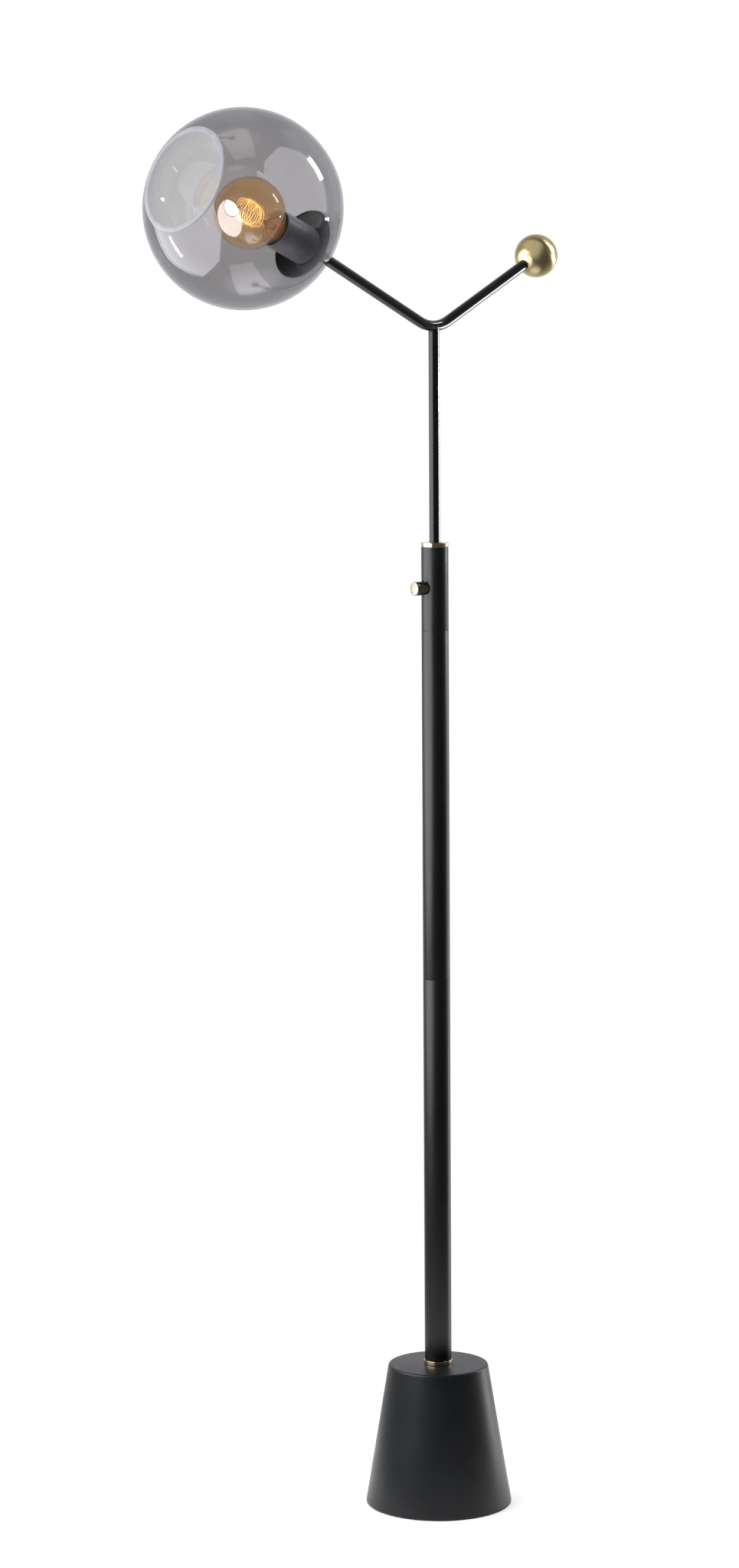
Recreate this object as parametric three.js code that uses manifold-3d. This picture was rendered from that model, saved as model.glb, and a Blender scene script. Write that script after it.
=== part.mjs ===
// A pharmacy floor lamp: a ballasted conical base, a three-section pole with a rotary dimmer, and a
// swivelling riser whose V-shaped arm carries an open glass globe on one leg and a brass ball on the other.
// Millimetres and degrees. +Z is up, the origin is the centre of the base's underside, the arm lies in the
// XZ plane and the globe is on the -X side.

import * as THREE from "three";
import { mergeVertices } from "three/addons/utils/BufferGeometryUtils.js";
import Module from "manifold-3d";

const wasm = await Module();
wasm.setup();

// ---- Driving dimensions ----

const GAP = 0.3; // between neighbours that touch
const RADIANS = Math.PI / 180;

// Base
const BASE_HEIGHT = 167.4;
const BASE_FOOT_RADIUS = 86.7;
const BASE_TOP_RADIUS = 59; // where the side would meet the top if the edge were sharp
const BASE_TOP_FILLET = 3;
const BASE_FOOT_ROUNDING = 0.8;
const BASE_WALL = 1.6;
const BASE_FLOOR_CLEARANCE = 1; // the felt pad lifts the shell by this much
const PAD_THICKNESS = 3;
const PAD_SIDE_CLEARANCE = 0.8;
const BALLAST_TOP = 60;
const BALLAST_SIDE_CLEARANCE = 0.6;
const POCKET_RADIUS = 26; // the hollow under the ballast that holds the nut
const POCKET_TOP = 33.7;
const LEAD_GROOVE_WIDTH = 14;
const LEAD_GROOVE_TOP = 17.5;
const GROMMET_HEIGHT = 11;
const GROMMET_HOLE_RADIUS = 4.7; // in the shell
const GROMMET_HOLE_REACH = [-6, 4]; // of the drill, across the shell's surface
const GROMMET_BORE = 2.8;
const GROMMET_NECK_RADIUS = 4.3;
const GROMMET_INNER_RADIUS = 5.6;
const GROMMET_INNER_THICKNESS = 1.6;
const GROMMET_OUTER_RADIUS = 6.2;
const GROMMET_OUTER_HEIGHT = 2.1;
const GROMMET_OUTER_ROUNDING = [0.8, 0.6]; // along the radius and the height

// Threaded tube that clamps the base and the pole together
const TIE_RADIUS = 4.8;
const TIE_BORE = 3.1;
const TIE_LOW = 26.3;
const TIE_TOP = 198;
const TIE_HOLE = TIE_RADIUS + GAP;
const BASE_NUT_WIDTH = 16; // across flats
const BASE_NUT_SPAN = [26.9, 31.5];
const BASE_WASHER_RADIUS = 13;

// Pole
const POLE_RADIUS = 31.75 / 2;
const POLE_WALL = 1.5;
const POLE_BORE = POLE_RADIUS - POLE_WALL;
const POLE_LINER = POLE_BORE - 0.325; // radius of what fits inside the pole
const FOOT_RING_RADIUS = 16.75;
const FOOT_RING_TOP = 172.4;
const LOWER_SEAM = 630.2;
const UPPER_SEAM = 1040.4;
const POLE_TOP = 1137.7;
const COUPLER_HALF_LENGTH = 28;
const COUPLER_BORE = 10;
const UPPER_COUPLER_LOW = 1014; // its top stops under the switch sleeve
const COUPLING_LENGTH = 27;

// Dimmer and knob, on an axis that points out of the pole
const SWITCH_HEIGHT = 1090;
const SWITCH_AZIMUTH = 171; // from +X, so 9 degrees off the globe's side
const KNOB_RADIUS = 8;
const KNOB_BACK = 14.4;
const KNOB_FACE = 30.4;
const KNOB_SKIRT_BORE = 6.9;
const KNOB_SKIRT_DEPTH = 3.6;
const KNOB_CHAMFER = 0.5;
const INDEX_DOT_RADIUS = 0.8;
const INDEX_DOT_DEPTH = 0.5;
const INDEX_DOT_DOWN = 4.5;
const INDEX_DOT_SIDE = 4.2;
const SHAFT_RADIUS = 2.8;
const SHAFT_INNER_END = 3;
const SHAFT_OUTER_END = 25.5;
const DIMMER_SPAN = [-7, 6.5]; // along the axis
const DIMMER_WIDTH = 17;
const DIMMER_HEIGHT = 26;
const DIMMER_BUSH_RADIUS = 4;
const DIMMER_BUSH_END = 17.2;
const DIMMER_NUT_WIDTH = 10.8; // across flats
const DIMMER_NUT_THICKNESS = 2;
const SIDE_HOLE_SPAN = [5, 25]; // of the drills that cross the pole's wall for the knob
const KNOB_CLEARANCE = 0.7;
const BUSH_CLEARANCE = 0.4;
const SLEEVE_WALL = 1;
const SLEEVE_LOW = 1068;
const SLEEVE_TOP = 1108.6;

// Swivel
const SEAT_THICKNESS = 3;
const SEAT_BORE = 3;
const SEAT_LOW = SLEEVE_TOP + GAP;
const RISER_FOOT = SEAT_LOW + SEAT_THICKNESS + GAP;
const RISER_STOP_LENGTH = 5;
const RISER_STOP_RADIUS = 11;
const COLLAR_SPIGOT_LOW = RISER_FOOT + RISER_STOP_LENGTH + 0.4;
const COLLAR_RADIUS = 15.95;
const COLLAR_HEIGHT = 5;
const COLLAR_BORE = 8.2;
const COLLAR_LIP = 2.4;

// Arm tube
const TUBE_RADIUS = 12.7 / 2;
const TUBE_BORE = 5.35;
const VERTEX_HEIGHT = 1386.7; // where the two legs' centrelines would cross
const BEND_RADIUS = 55;
const GLOBE_LEG_RISE = 24.8;
const GLOBE_LEG_LENGTH = 217;
const BALL_LEG_RISE = 26.8;
const BALL_DISTANCE = 196.3; // from the vertex to the ball's centre
const LEAD_SLOT = [-13, 4]; // along X, where the lead passes from the riser into the arm
const LEAD_SLOT_WIDTH = 7;

// Counterweight ball
const BALL_RADIUS = 25.4;
const BALL_FLAT = 24.5; // from the centre to the flat that meets the arm
const STUD_RADIUS = 3;
const STUD_DEPTH = 18;
const STUD_REACH = 13; // beyond the flat, into the arm
const PLUG_REACH = 14;

// Head: distances run along its axis from the globe's centre, positive towards the arm
const HEAD_RISE = 22.26;
const MOUTH_RISE = 19.15;
const HEAD_OFFSET = 112.6;
const GLOBE_RADIUS = 110.5;
const GLOBE_WALL = 2.6;
const MOUTH_DISTANCE = 93.2;
const NIPPLE_RADIUS = 4.75;
const NIPPLE_BORE = 3.3;
const NIPPLE_INNER_END = 96;
const NIPPLE_OUTER_END = 120.6;
const NIPPLE_HOLE = 5.2;
const WASHER_RADIUS = 6.9;
const WASHER_THICKNESS = 1.2;
const HOLDER_BACK_RADIUS = 107; // of the sphere that its back follows
const HOLDER_THICKNESS = 1.4;
const HOLDER_RIM_RADIUS = 40.5;
const HOLDER_RIM_BEVEL = 1.2;
const CUP_RADIUS = 21.75;
const CUP_WALL = 1;
const CUP_MOUTH = 51.5;
const CUP_BACK = 103.2;
const CUP_FLOOR = 1.5;
const SOCKET_NUT_WIDTH = 14; // across flats
const SOCKET_NUT_THICKNESS = 3.2;
const SOCKET_BODY_RADIUS = 20.4;
const SOCKET_BODY_SPAN = [54, 94];
const SOCKET_WELL_END = 91;
const SHELL_BORE = 13.35;
const SHELL_RADIUS = 13.9;
const SHELL_SPAN = [57, 87];
const CONTACT_RADIUS = 4.5;
const CONTACT_THICKNESS = 1.6;

// Bulb: an 80 mm globe on a 26 mm screw cap
const BULB_RADIUS = 40.1;
const BULB_CENTRE = 10.7;
const BULB_GLASS = 0.9;
const BULB_NECK_RADIUS = 13.5;
const BULB_SEAL_RADIUS = 12.2;
const CAP_RADIUS = 13;
const CAP_SPAN = [61, 85.5];
const CAP_CONTACT_END = 88.2;
const CAP_WALL = 0.5;
const CAP_DEPTH = 12; // of the hollow that the glass sits in
const CAP_SHOULDER = 4;
const CAP_CONTACT_RADII = [4.5, 3]; // at its foot and its tip
const CAP_CONTACT_FOOT = 0.6;
const SEAL_START = 1; // of the glass, ahead of the cap
const SEAL_DEPTH = 5;
const STEM_RADIUS = 1.6;
const STEM_FOOT_RADIUS = 3.6;
const STEM_NECK_RADIUS = 3.2;
const STEM_NECK_SPAN = [34, 40];
const STEM_FLARE_RADIUS = 9;
const STEM_FLARE_LENGTH = 14;
const STEM_FLARE_DEPTH = 9; // into the cap
const STEM_TIP_REACH = 2; // beyond the filament
const FILAMENT_RADIUS = 13.5;
const FILAMENT_TURNS = 7;
const FILAMENT_SPAN = [-4, 24];
const FILAMENT_WIRE = 0.5;

// Leads inside the lamp
const LOWER_LEAD_RADIUS = 2.3;
const LOWER_LEAD_BEND = 15;
const LOWER_LEAD_START = 80;
const UPPER_LEAD_RADIUS = 2;
const UPPER_LEAD_BEND = 12;
const UPPER_LEAD_END = 9; // short of the arm's end
const LEAD_FACETS = 8;
const LEAD_BEND_STEPS = 5;

// Facets round a circle
const WIDE = 36;
const MEDIUM = 24;
const NARROW = 16;

// ---- Finishes ----

const SATIN_BLACK = { color: 0x24282a, roughness: 0.42, metalness: 0.35 };
const GLOSS_BLACK = { color: 0x101214, roughness: 0.16, metalness: 0.3 };
const POLISHED_BRASS = { color: 0xc9a860, roughness: 0.16, metalness: 1 };
const BRUSHED_BRASS = { color: 0xb4965a, roughness: 0.32, metalness: 1 };
const CHAMPAGNE_METAL = { color: 0xbfae96, roughness: 0.18, metalness: 1 };
const NICKEL = { color: 0xd6d6d2, roughness: 0.15, metalness: 1 };
const STEEL = { color: 0x8d9094, roughness: 0.45, metalness: 0.9 };
const CAST_IRON = { color: 0x4a4a4a, roughness: 0.8, metalness: 0.4 };
const FELT = { color: 0x1a1a1a, roughness: 0.95, metalness: 0 };
const RUBBER = { color: 0x151515, roughness: 0.8, metalness: 0 };
const DARK_GREY = { color: 0x55565c, roughness: 0.4, metalness: 0.2 };
const PHENOLIC = { color: 0x1c1a18, roughness: 0.5, metalness: 0 };
const NYLON = { color: 0xdcd8cc, roughness: 0.5, metalness: 0 };
const SMOKE_GLASS = { color: 0x7c7a7e, roughness: 0.04, metalness: 0 };
const AMBER_GLASS = { color: 0xc0853c, roughness: 0.04, metalness: 0 };
const CLEAR_GLASS = { color: 0xe6e6e6, roughness: 0.04, metalness: 0 };
const GLOWING_WIRE = { color: 0xffb545, roughness: 0.5, metalness: 0 };

// ---- Tools for making solids ----

const lamp = new THREE.Group();

function part(name, geometry, finish, parent = lamp) {
  const mesh = new THREE.Mesh(geometry, new THREE.MeshStandardMaterial(finish));
  mesh.name = name;
  parent.add(mesh);
  return mesh;
}

// Turns a profile of [radius, height] points round +Z. The points run anticlockwise.
function turned(profile, facets = MEDIUM) {
  const points = profile.map(([radius, height]) => new THREE.Vector2(radius, height));
  return new THREE.LatheGeometry(points, facets).rotateX(Math.PI / 2);
}

function ring(bore, radius, low, high, facets = MEDIUM) {
  return turned([[bore, low], [radius, low], [radius, high], [bore, high], [bore, low]], facets);
}

function disc(radius, low, high, facets = MEDIUM) {
  return turned([[0, low], [radius, low], [radius, high], [0, high]], facets);
}

// Points of a profile's arc, from one angle to another, both in degrees.
function arc(centreRadius, centreHeight, radius, from, to, steps) {
  return Array.from({ length: steps + 1 }, (_, i) => {
    const angle = (from + ((to - from) * i) / steps) * RADIANS;
    return [centreRadius + radius * Math.cos(angle), centreHeight + radius * Math.sin(angle)];
  });
}

function hexNut(acrossFlats, bore, low, high) {
  const cornerRadius = acrossFlats / Math.sqrt(3);
  const outline = new THREE.Shape(
    Array.from({ length: 6 }, (_, i) => {
      const angle = i * 60 * RADIANS;
      return new THREE.Vector2(cornerRadius * Math.cos(angle), cornerRadius * Math.sin(angle));
    }),
  );
  outline.holes.push(new THREE.Path().absarc(0, 0, bore, 0, 2 * Math.PI));
  const nut = new THREE.ExtrudeGeometry(outline, {
    depth: high - low,
    bevelEnabled: false,
    curveSegments: NARROW / 2,
  });
  return nut.translate(0, 0, low);
}

function solid(geometry) {
  const bare = geometry.clone();
  bare.deleteAttribute("normal");
  bare.deleteAttribute("uv");
  const merged = mergeVertices(bare, 1e-3);
  return new wasm.Manifold(
    new wasm.Mesh({
      numProp: 3,
      vertProperties: merged.attributes.position.array,
      triVerts: new Uint32Array(merged.index.array),
    }),
  );
}

function geometryOf(manifold) {
  const { vertProperties, triVerts } = manifold.getMesh();
  const geometry = new THREE.BufferGeometry();
  geometry.setAttribute("position", new THREE.BufferAttribute(vertProperties, 3));
  geometry.setIndex(new THREE.BufferAttribute(triVerts, 1));
  geometry.computeVertexNormals();
  return geometry;
}

function carved(geometry, ...cutters) {
  return geometryOf(cutters.reduce((body, cutter) => body.subtract(solid(cutter)), solid(geometry)));
}

// A path through stations that each give a point and a tangent, so that a straight run is one step.
class StationPath extends THREE.Curve {
  constructor(stations) {
    super();
    this.stations = stations;
  }

  blend(t, key, target) {
    const last = this.stations.length - 1;
    const index = Math.min(Math.floor(t * last), last - 1);
    return target.lerpVectors(this.stations[index][key], this.stations[index + 1][key], t * last - index);
  }

  getPoint(t, target = new THREE.Vector3()) {
    return this.blend(t, "point", target);
  }

  getTangent(t, target = new THREE.Vector3()) {
    return this.blend(t, "tangent", target).normalize();
  }

  getUtoTmapping(u) {
    return u;
  }
}

// A round tube, or a rod if the bore is 0, along a path in the XZ plane. Its legs are given by their far
// ends, the corner that they would meet at, and the radius of the bend there.
function bentTube(start, corner, end, bendRadius, radius, bore, facets = NARROW, bendSteps = 6) {
  const inward = corner.clone().sub(start).normalize();
  const outward = end.clone().sub(corner).normalize();
  const turn = inward.angleTo(outward);
  const setback = bendRadius * Math.tan(turn / 2);
  const bendStart = corner.clone().addScaledVector(inward, -setback);
  const axis = inward.clone().cross(outward).normalize();
  const toCentre = axis.clone().cross(inward).multiplyScalar(bendRadius);
  const centre = bendStart.clone().add(toCentre);
  const stations = [{ point: start, tangent: inward }];
  for (let i = 0; i <= bendSteps; i += 1) {
    const angle = (turn * i) / bendSteps;
    stations.push({
      point: toCentre.clone().negate().applyAxisAngle(axis, angle).add(centre),
      tangent: inward.clone().applyAxisAngle(axis, angle),
    });
  }
  stations.push({ point: end, tangent: outward });
  const section = new THREE.Shape().absarc(0, 0, radius, 0, 2 * Math.PI);
  if (bore > 0) section.holes.push(new THREE.Path().absarc(0, 0, bore, 0, 2 * Math.PI));
  return new THREE.ExtrudeGeometry(section, {
    steps: stations.length - 1,
    curveSegments: facets / 2,
    extrudePath: new StationPath(stations),
  });
}

// ---- Base ----

const baseLean = Math.atan((BASE_FOOT_RADIUS - BASE_TOP_RADIUS) / BASE_HEIGHT);
const baseRadiusAt = (height) => BASE_FOOT_RADIUS - height * Math.tan(baseLean);
const baseBoreAt = (height) => baseRadiusAt(height) - BASE_WALL / Math.cos(baseLean);

// The grommet's axis is square to the sloping side, on the side away from the globe.
const grommetFrame = new THREE.Group();
grommetFrame.position.set(baseRadiusAt(GROMMET_HEIGHT), 0, GROMMET_HEIGHT);
grommetFrame.rotation.y = Math.PI / 2 - baseLean;
grommetFrame.updateMatrix();
lamp.add(grommetFrame);

function baseShell() {
  const filletSetback = (BASE_TOP_FILLET * (1 - Math.sin(baseLean))) / Math.cos(baseLean);
  const leanDegrees = baseLean / RADIANS;
  const low = BASE_FLOOR_CLEARANCE;
  const profile = [
    [baseBoreAt(low), low],
    [baseRadiusAt(low) - BASE_FOOT_ROUNDING, low],
    [baseRadiusAt(low + BASE_FOOT_ROUNDING), low + BASE_FOOT_ROUNDING],
    ...arc(
      BASE_TOP_RADIUS - filletSetback,
      BASE_HEIGHT - BASE_TOP_FILLET,
      BASE_TOP_FILLET,
      leanDegrees,
      90,
      4,
    ),
    [TIE_HOLE, BASE_HEIGHT],
    [TIE_HOLE, BASE_HEIGHT - BASE_WALL],
    [baseBoreAt(BASE_HEIGHT - BASE_WALL), BASE_HEIGHT - BASE_WALL],
    [baseBoreAt(low), low],
  ];
  const drill = disc(GROMMET_HOLE_RADIUS, ...GROMMET_HOLE_REACH, NARROW);
  const grommetHole = drill.applyMatrix4(grommetFrame.matrix);
  return carved(turned(profile, WIDE), grommetHole);
}

function ballast() {
  const low = PAD_THICKNESS + GAP;
  const sideAt = (height) => baseBoreAt(height) - BALLAST_SIDE_CLEARANCE;
  const body = turned(
    [
      [POCKET_RADIUS, low],
      [sideAt(low), low],
      [sideAt(BALLAST_TOP), BALLAST_TOP],
      [TIE_HOLE, BALLAST_TOP],
      [TIE_HOLE, POCKET_TOP],
      [POCKET_RADIUS, POCKET_TOP],
      [POCKET_RADIUS, low],
    ],
    WIDE,
  );
  const reach = BASE_FOOT_RADIUS;
  const groove = new THREE.BoxGeometry(reach, LEAD_GROOVE_WIDTH, LEAD_GROOVE_TOP);
  return carved(body, groove.translate(POCKET_RADIUS / 2 + reach / 2, 0, LEAD_GROOVE_TOP / 2));
}

// A rubber grommet with a groove that holds the edge of the shell's hole. Height 0 is the shell's surface.
function grommet() {
  const innerFace = -BASE_WALL - 0.5;
  const innerEnd = innerFace - GROMMET_INNER_THICKNESS;
  const [roundingAcross, roundingUp] = GROMMET_OUTER_ROUNDING;
  return turned(
    [
      [GROMMET_BORE, innerEnd],
      [GROMMET_INNER_RADIUS, innerEnd],
      [GROMMET_INNER_RADIUS, innerFace],
      [GROMMET_NECK_RADIUS, innerFace],
      [GROMMET_NECK_RADIUS, GAP],
      [GROMMET_OUTER_RADIUS, GAP],
      [GROMMET_OUTER_RADIUS, GROMMET_OUTER_HEIGHT - roundingUp],
      [GROMMET_OUTER_RADIUS - roundingAcross, GROMMET_OUTER_HEIGHT],
      [GROMMET_BORE, GROMMET_OUTER_HEIGHT],
      [GROMMET_BORE, innerEnd],
    ],
    NARROW,
  );
}

part("floor_pad", disc(baseBoreAt(PAD_THICKNESS) - PAD_SIDE_CLEARANCE, 0, PAD_THICKNESS, WIDE), FELT);
part("base_shell", baseShell(), SATIN_BLACK);
part("base_weight", ballast(), CAST_IRON);
part("base_grommet", grommet(), RUBBER, grommetFrame);
part("tie_tube", ring(TIE_BORE, TIE_RADIUS, TIE_LOW, TIE_TOP, NARROW), STEEL);
part("base_nut", hexNut(BASE_NUT_WIDTH, TIE_HOLE, ...BASE_NUT_SPAN), STEEL);
const baseWasherLow = BASE_NUT_SPAN[1] + GAP;
part("base_washer", ring(TIE_HOLE, BASE_WASHER_RADIUS, baseWasherLow, POCKET_TOP - GAP, NARROW), STEEL);

function footRing() {
  const low = BASE_HEIGHT + GAP;
  const edge = 0.6;
  return turned([
    [TIE_HOLE, low],
    [FOOT_RING_RADIUS - edge, low],
    [FOOT_RING_RADIUS, low + edge],
    [FOOT_RING_RADIUS, FOOT_RING_TOP - edge],
    [FOOT_RING_RADIUS - edge, FOOT_RING_TOP],
    [TIE_HOLE, FOOT_RING_TOP],
    [TIE_HOLE, low],
  ]);
}

part("base_ring", footRing(), POLISHED_BRASS);

// ---- Pole ----

const poleFoot = FOOT_RING_TOP + GAP;
const coupler = (seam) =>
  ring(COUPLER_BORE, POLE_LINER, seam - COUPLER_HALF_LENGTH, seam + COUPLER_HALF_LENGTH);
const poleTube = (low, high) => ring(POLE_BORE, POLE_RADIUS, low, high, MEDIUM);

part("base_coupling", ring(TIE_HOLE, POLE_LINER, poleFoot, poleFoot + COUPLING_LENGTH), STEEL);
part("lower_pole_tube", poleTube(poleFoot, LOWER_SEAM - GAP / 2), SATIN_BLACK);
part("lower_coupler", coupler(LOWER_SEAM), STEEL);
part("middle_pole_tube", poleTube(LOWER_SEAM + GAP / 2, UPPER_SEAM - GAP / 2), SATIN_BLACK);
const upperCoupler = ring(COUPLER_BORE, POLE_LINER, UPPER_COUPLER_LOW, SLEEVE_LOW - GAP);
part("upper_coupler", upperCoupler, STEEL);

// ---- Switch housing, dimmer and knob ----

// Height runs out of the pole along the knob's axis, +X is down and +Y stays level.
const switchFrame = new THREE.Group();
switchFrame.position.set(0, 0, SWITCH_HEIGHT);
switchFrame.rotation.set(0, Math.PI / 2, SWITCH_AZIMUTH * RADIANS, "ZYX");
switchFrame.updateMatrix();
lamp.add(switchFrame);

const knobDrill = disc(KNOB_RADIUS + KNOB_CLEARANCE, ...SIDE_HOLE_SPAN);
const knobHole = knobDrill.applyMatrix4(switchFrame.matrix);
const housing = carved(poleTube(UPPER_SEAM + GAP / 2, POLE_TOP), knobHole);
part("switch_housing", housing, SATIN_BLACK);

const bushDrill = disc(DIMMER_BUSH_RADIUS + BUSH_CLEARANCE, ...SIDE_HOLE_SPAN, NARROW);
const bushHole = bushDrill.applyMatrix4(switchFrame.matrix);
const sleeve = ring(POLE_LINER - SLEEVE_WALL, POLE_LINER, SLEEVE_LOW, SLEEVE_TOP);
part("switch_sleeve", carved(sleeve, bushHole), STEEL);

function dimmer() {
  const [back, front] = DIMMER_SPAN;
  const box = new THREE.BoxGeometry(DIMMER_HEIGHT, DIMMER_WIDTH, front - back);
  box.translate(0, 0, (back + front) / 2);
  const bush = disc(DIMMER_BUSH_RADIUS, 0, DIMMER_BUSH_END, NARROW);
  const shaftHole = disc(SHAFT_RADIUS + GAP, SHAFT_INNER_END - GAP, DIMMER_BUSH_END + 1, NARROW);
  return geometryOf(solid(box).add(solid(bush)).subtract(solid(shaftHole)));
}

part("dimmer_body", dimmer(), PHENOLIC, switchFrame);
const nutLow = POLE_LINER + GAP;
const nutHigh = nutLow + DIMMER_NUT_THICKNESS;
const dimmerNut = hexNut(DIMMER_NUT_WIDTH, DIMMER_BUSH_RADIUS + GAP, nutLow, nutHigh);
part("dimmer_nut", dimmerNut, NICKEL, switchFrame);
part("dimmer_shaft", disc(SHAFT_RADIUS, SHAFT_INNER_END, SHAFT_OUTER_END, NARROW), STEEL, switchFrame);

// The knob is turned from bar, with a skirt that covers the nut and a blind hole for the shaft.
function knob() {
  const shaftHole = SHAFT_RADIUS + GAP;
  const skirtEnd = KNOB_BACK + KNOB_SKIRT_DEPTH;
  const body = turned([
    [KNOB_SKIRT_BORE, KNOB_BACK],
    [KNOB_RADIUS, KNOB_BACK],
    [KNOB_RADIUS, KNOB_FACE - KNOB_CHAMFER],
    [KNOB_RADIUS - KNOB_CHAMFER, KNOB_FACE],
    [0, KNOB_FACE],
    [0, SHAFT_OUTER_END + GAP],
    [shaftHole, SHAFT_OUTER_END + GAP],
    [shaftHole, skirtEnd],
    [KNOB_SKIRT_BORE, skirtEnd],
    [KNOB_SKIRT_BORE, KNOB_BACK],
  ]);
  const dot = disc(INDEX_DOT_RADIUS, KNOB_FACE - INDEX_DOT_DEPTH, KNOB_FACE + 1, 12);
  return carved(body, dot.translate(INDEX_DOT_DOWN, -INDEX_DOT_SIDE, 0));
}

part("knob", knob(), CHAMPAGNE_METAL, switchFrame);

// ---- Swivel ----

// The collar's spigot fits the housing, and its lip hides the bushing.
function topCollar() {
  const flangeLow = POLE_TOP + GAP;
  const top = flangeLow + COLLAR_HEIGHT;
  const edge = 0.4;
  const lipBore = TUBE_RADIUS + 0.4;
  return turned([
    [COLLAR_BORE, COLLAR_SPIGOT_LOW],
    [POLE_LINER, COLLAR_SPIGOT_LOW],
    [POLE_LINER, flangeLow],
    [COLLAR_RADIUS, flangeLow],
    [COLLAR_RADIUS, top - edge],
    [COLLAR_RADIUS - edge, top],
    [lipBore, top],
    [lipBore, top - COLLAR_LIP],
    [COLLAR_BORE, top - COLLAR_LIP],
    [COLLAR_BORE, COLLAR_SPIGOT_LOW],
  ]);
}

const bushingTop = POLE_TOP + COLLAR_HEIGHT - COLLAR_LIP;
const runningBore = TUBE_RADIUS + GAP;
part("thrust_seat", ring(SEAT_BORE, POLE_LINER, SEAT_LOW, SEAT_LOW + SEAT_THICKNESS), NYLON);
part("top_collar", topCollar(), POLISHED_BRASS);
part("swivel_bushing", ring(runningBore, COLLAR_BORE - GAP, COLLAR_SPIGOT_LOW, bushingTop), NYLON);
const stopRing = ring(runningBore, RISER_STOP_RADIUS, RISER_FOOT, RISER_FOOT + RISER_STOP_LENGTH);
part("riser_stop", stopRing, STEEL);

// ---- Riser and V arm ----

const along = (rise, side) => {
  const angle = rise * RADIANS;
  return new THREE.Vector3(side * Math.cos(angle), 0, Math.sin(angle));
};
const vertex = new THREE.Vector3(0, 0, VERTEX_HEIGHT);
const globeLeg = along(GLOBE_LEG_RISE, -1);
const ballLeg = along(BALL_LEG_RISE, 1);
const globeLegEnd = vertex.clone().addScaledVector(globeLeg, GLOBE_LEG_LENGTH);
const ballLegEnd = vertex.clone().addScaledVector(ballLeg, BALL_DISTANCE - BALL_FLAT - GAP);
const ballCentre = vertex.clone().addScaledVector(ballLeg, BALL_DISTANCE);
const headAxis = along(HEAD_RISE, -1);
const globeCentre = globeLegEnd.clone().addScaledVector(headAxis, HEAD_OFFSET);

const vTube = (radius, bore) =>
  bentTube(globeLegEnd, vertex, ballLegEnd, BEND_RADIUS, radius, bore);

// A slot through the underside of the bend, centred over the riser.
function leadSlot() {
  const [left, right] = LEAD_SLOT;
  const half = LEAD_SLOT_WIDTH / 2;
  const outline = new THREE.Shape();
  outline.absarc(right - half, 0, half, -Math.PI / 2, Math.PI / 2);
  outline.absarc(left + half, 0, half, Math.PI / 2, (3 * Math.PI) / 2);
  const depth = BEND_RADIUS / 2;
  const slot = new THREE.ExtrudeGeometry(outline, { depth, bevelEnabled: false, curveSegments: 6 });
  return slot.translate(0, 0, VERTEX_HEIGHT + 6 - depth);
}

const riserBlank = ring(TUBE_BORE, TUBE_RADIUS, RISER_FOOT, VERTEX_HEIGHT + 6, NARROW);
part("riser_tube", carved(riserBlank, vTube(TUBE_RADIUS + GAP, 0)), GLOSS_BLACK);
part("v_arm", carved(vTube(TUBE_RADIUS, TUBE_BORE), leadSlot()), GLOSS_BLACK);

// ---- Counterweight ball ----

// Height runs from the ball's centre back along the leg.
const ballFrame = new THREE.Group();
ballFrame.position.copy(ballCentre);
ballFrame.quaternion.setFromUnitVectors(new THREE.Vector3(0, 0, 1), ballLeg.clone().negate());
lamp.add(ballFrame);

function ball() {
  const flatAngle = Math.asin(BALL_FLAT / BALL_RADIUS) / RADIANS;
  const hole = STUD_RADIUS + GAP;
  const holeEnd = BALL_FLAT - STUD_DEPTH;
  return turned([
    ...arc(0, 0, BALL_RADIUS, -90, flatAngle, 10),
    [hole, BALL_FLAT],
    [hole, holeEnd],
    [0, holeEnd],
  ]);
}

part("counterweight_ball", ball(), BRUSHED_BRASS, ballFrame);
const studLow = BALL_FLAT - STUD_DEPTH + GAP;
part("ball_stud", disc(STUD_RADIUS, studLow, BALL_FLAT + STUD_REACH, NARROW), STEEL, ballFrame);
const plugSpan = [BALL_FLAT + GAP, BALL_FLAT + PLUG_REACH];
part("arm_plug", ring(STUD_RADIUS + GAP, TUBE_BORE - GAP, ...plugSpan, NARROW), STEEL, ballFrame);

// ---- Head: glass, holder, socket and bulb ----

// Height runs from the globe's centre back towards the arm, along the head's axis.
const head = new THREE.Group();
head.position.copy(globeCentre);
head.rotation.y = Math.PI / 2 + HEAD_RISE * RADIANS;
lamp.add(head);

// The globe is blown with one open mouth, ground flat, which dips a little below the head's axis.
function glassShade() {
  const bore = GLOBE_RADIUS - GLOBE_WALL;
  const outerEdge = Math.asin(-MOUTH_DISTANCE / GLOBE_RADIUS) / RADIANS;
  const innerEdge = Math.asin(-MOUTH_DISTANCE / bore) / RADIANS;
  const mouthCircle = [Math.sqrt(bore ** 2 - MOUTH_DISTANCE ** 2), -MOUTH_DISTANCE];
  const globe = turned(
    [
      mouthCircle,
      ...arc(0, 0, GLOBE_RADIUS, outerEdge, 90, 14),
      ...arc(0, 0, bore, 90, innerEdge, 14),
    ],
    WIDE,
  );
  globe.rotateY((MOUTH_RISE - HEAD_RISE) * RADIANS);
  return carved(globe, disc(NIPPLE_HOLE, bore - 8, GLOBE_RADIUS + 8, NARROW));
}

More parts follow.
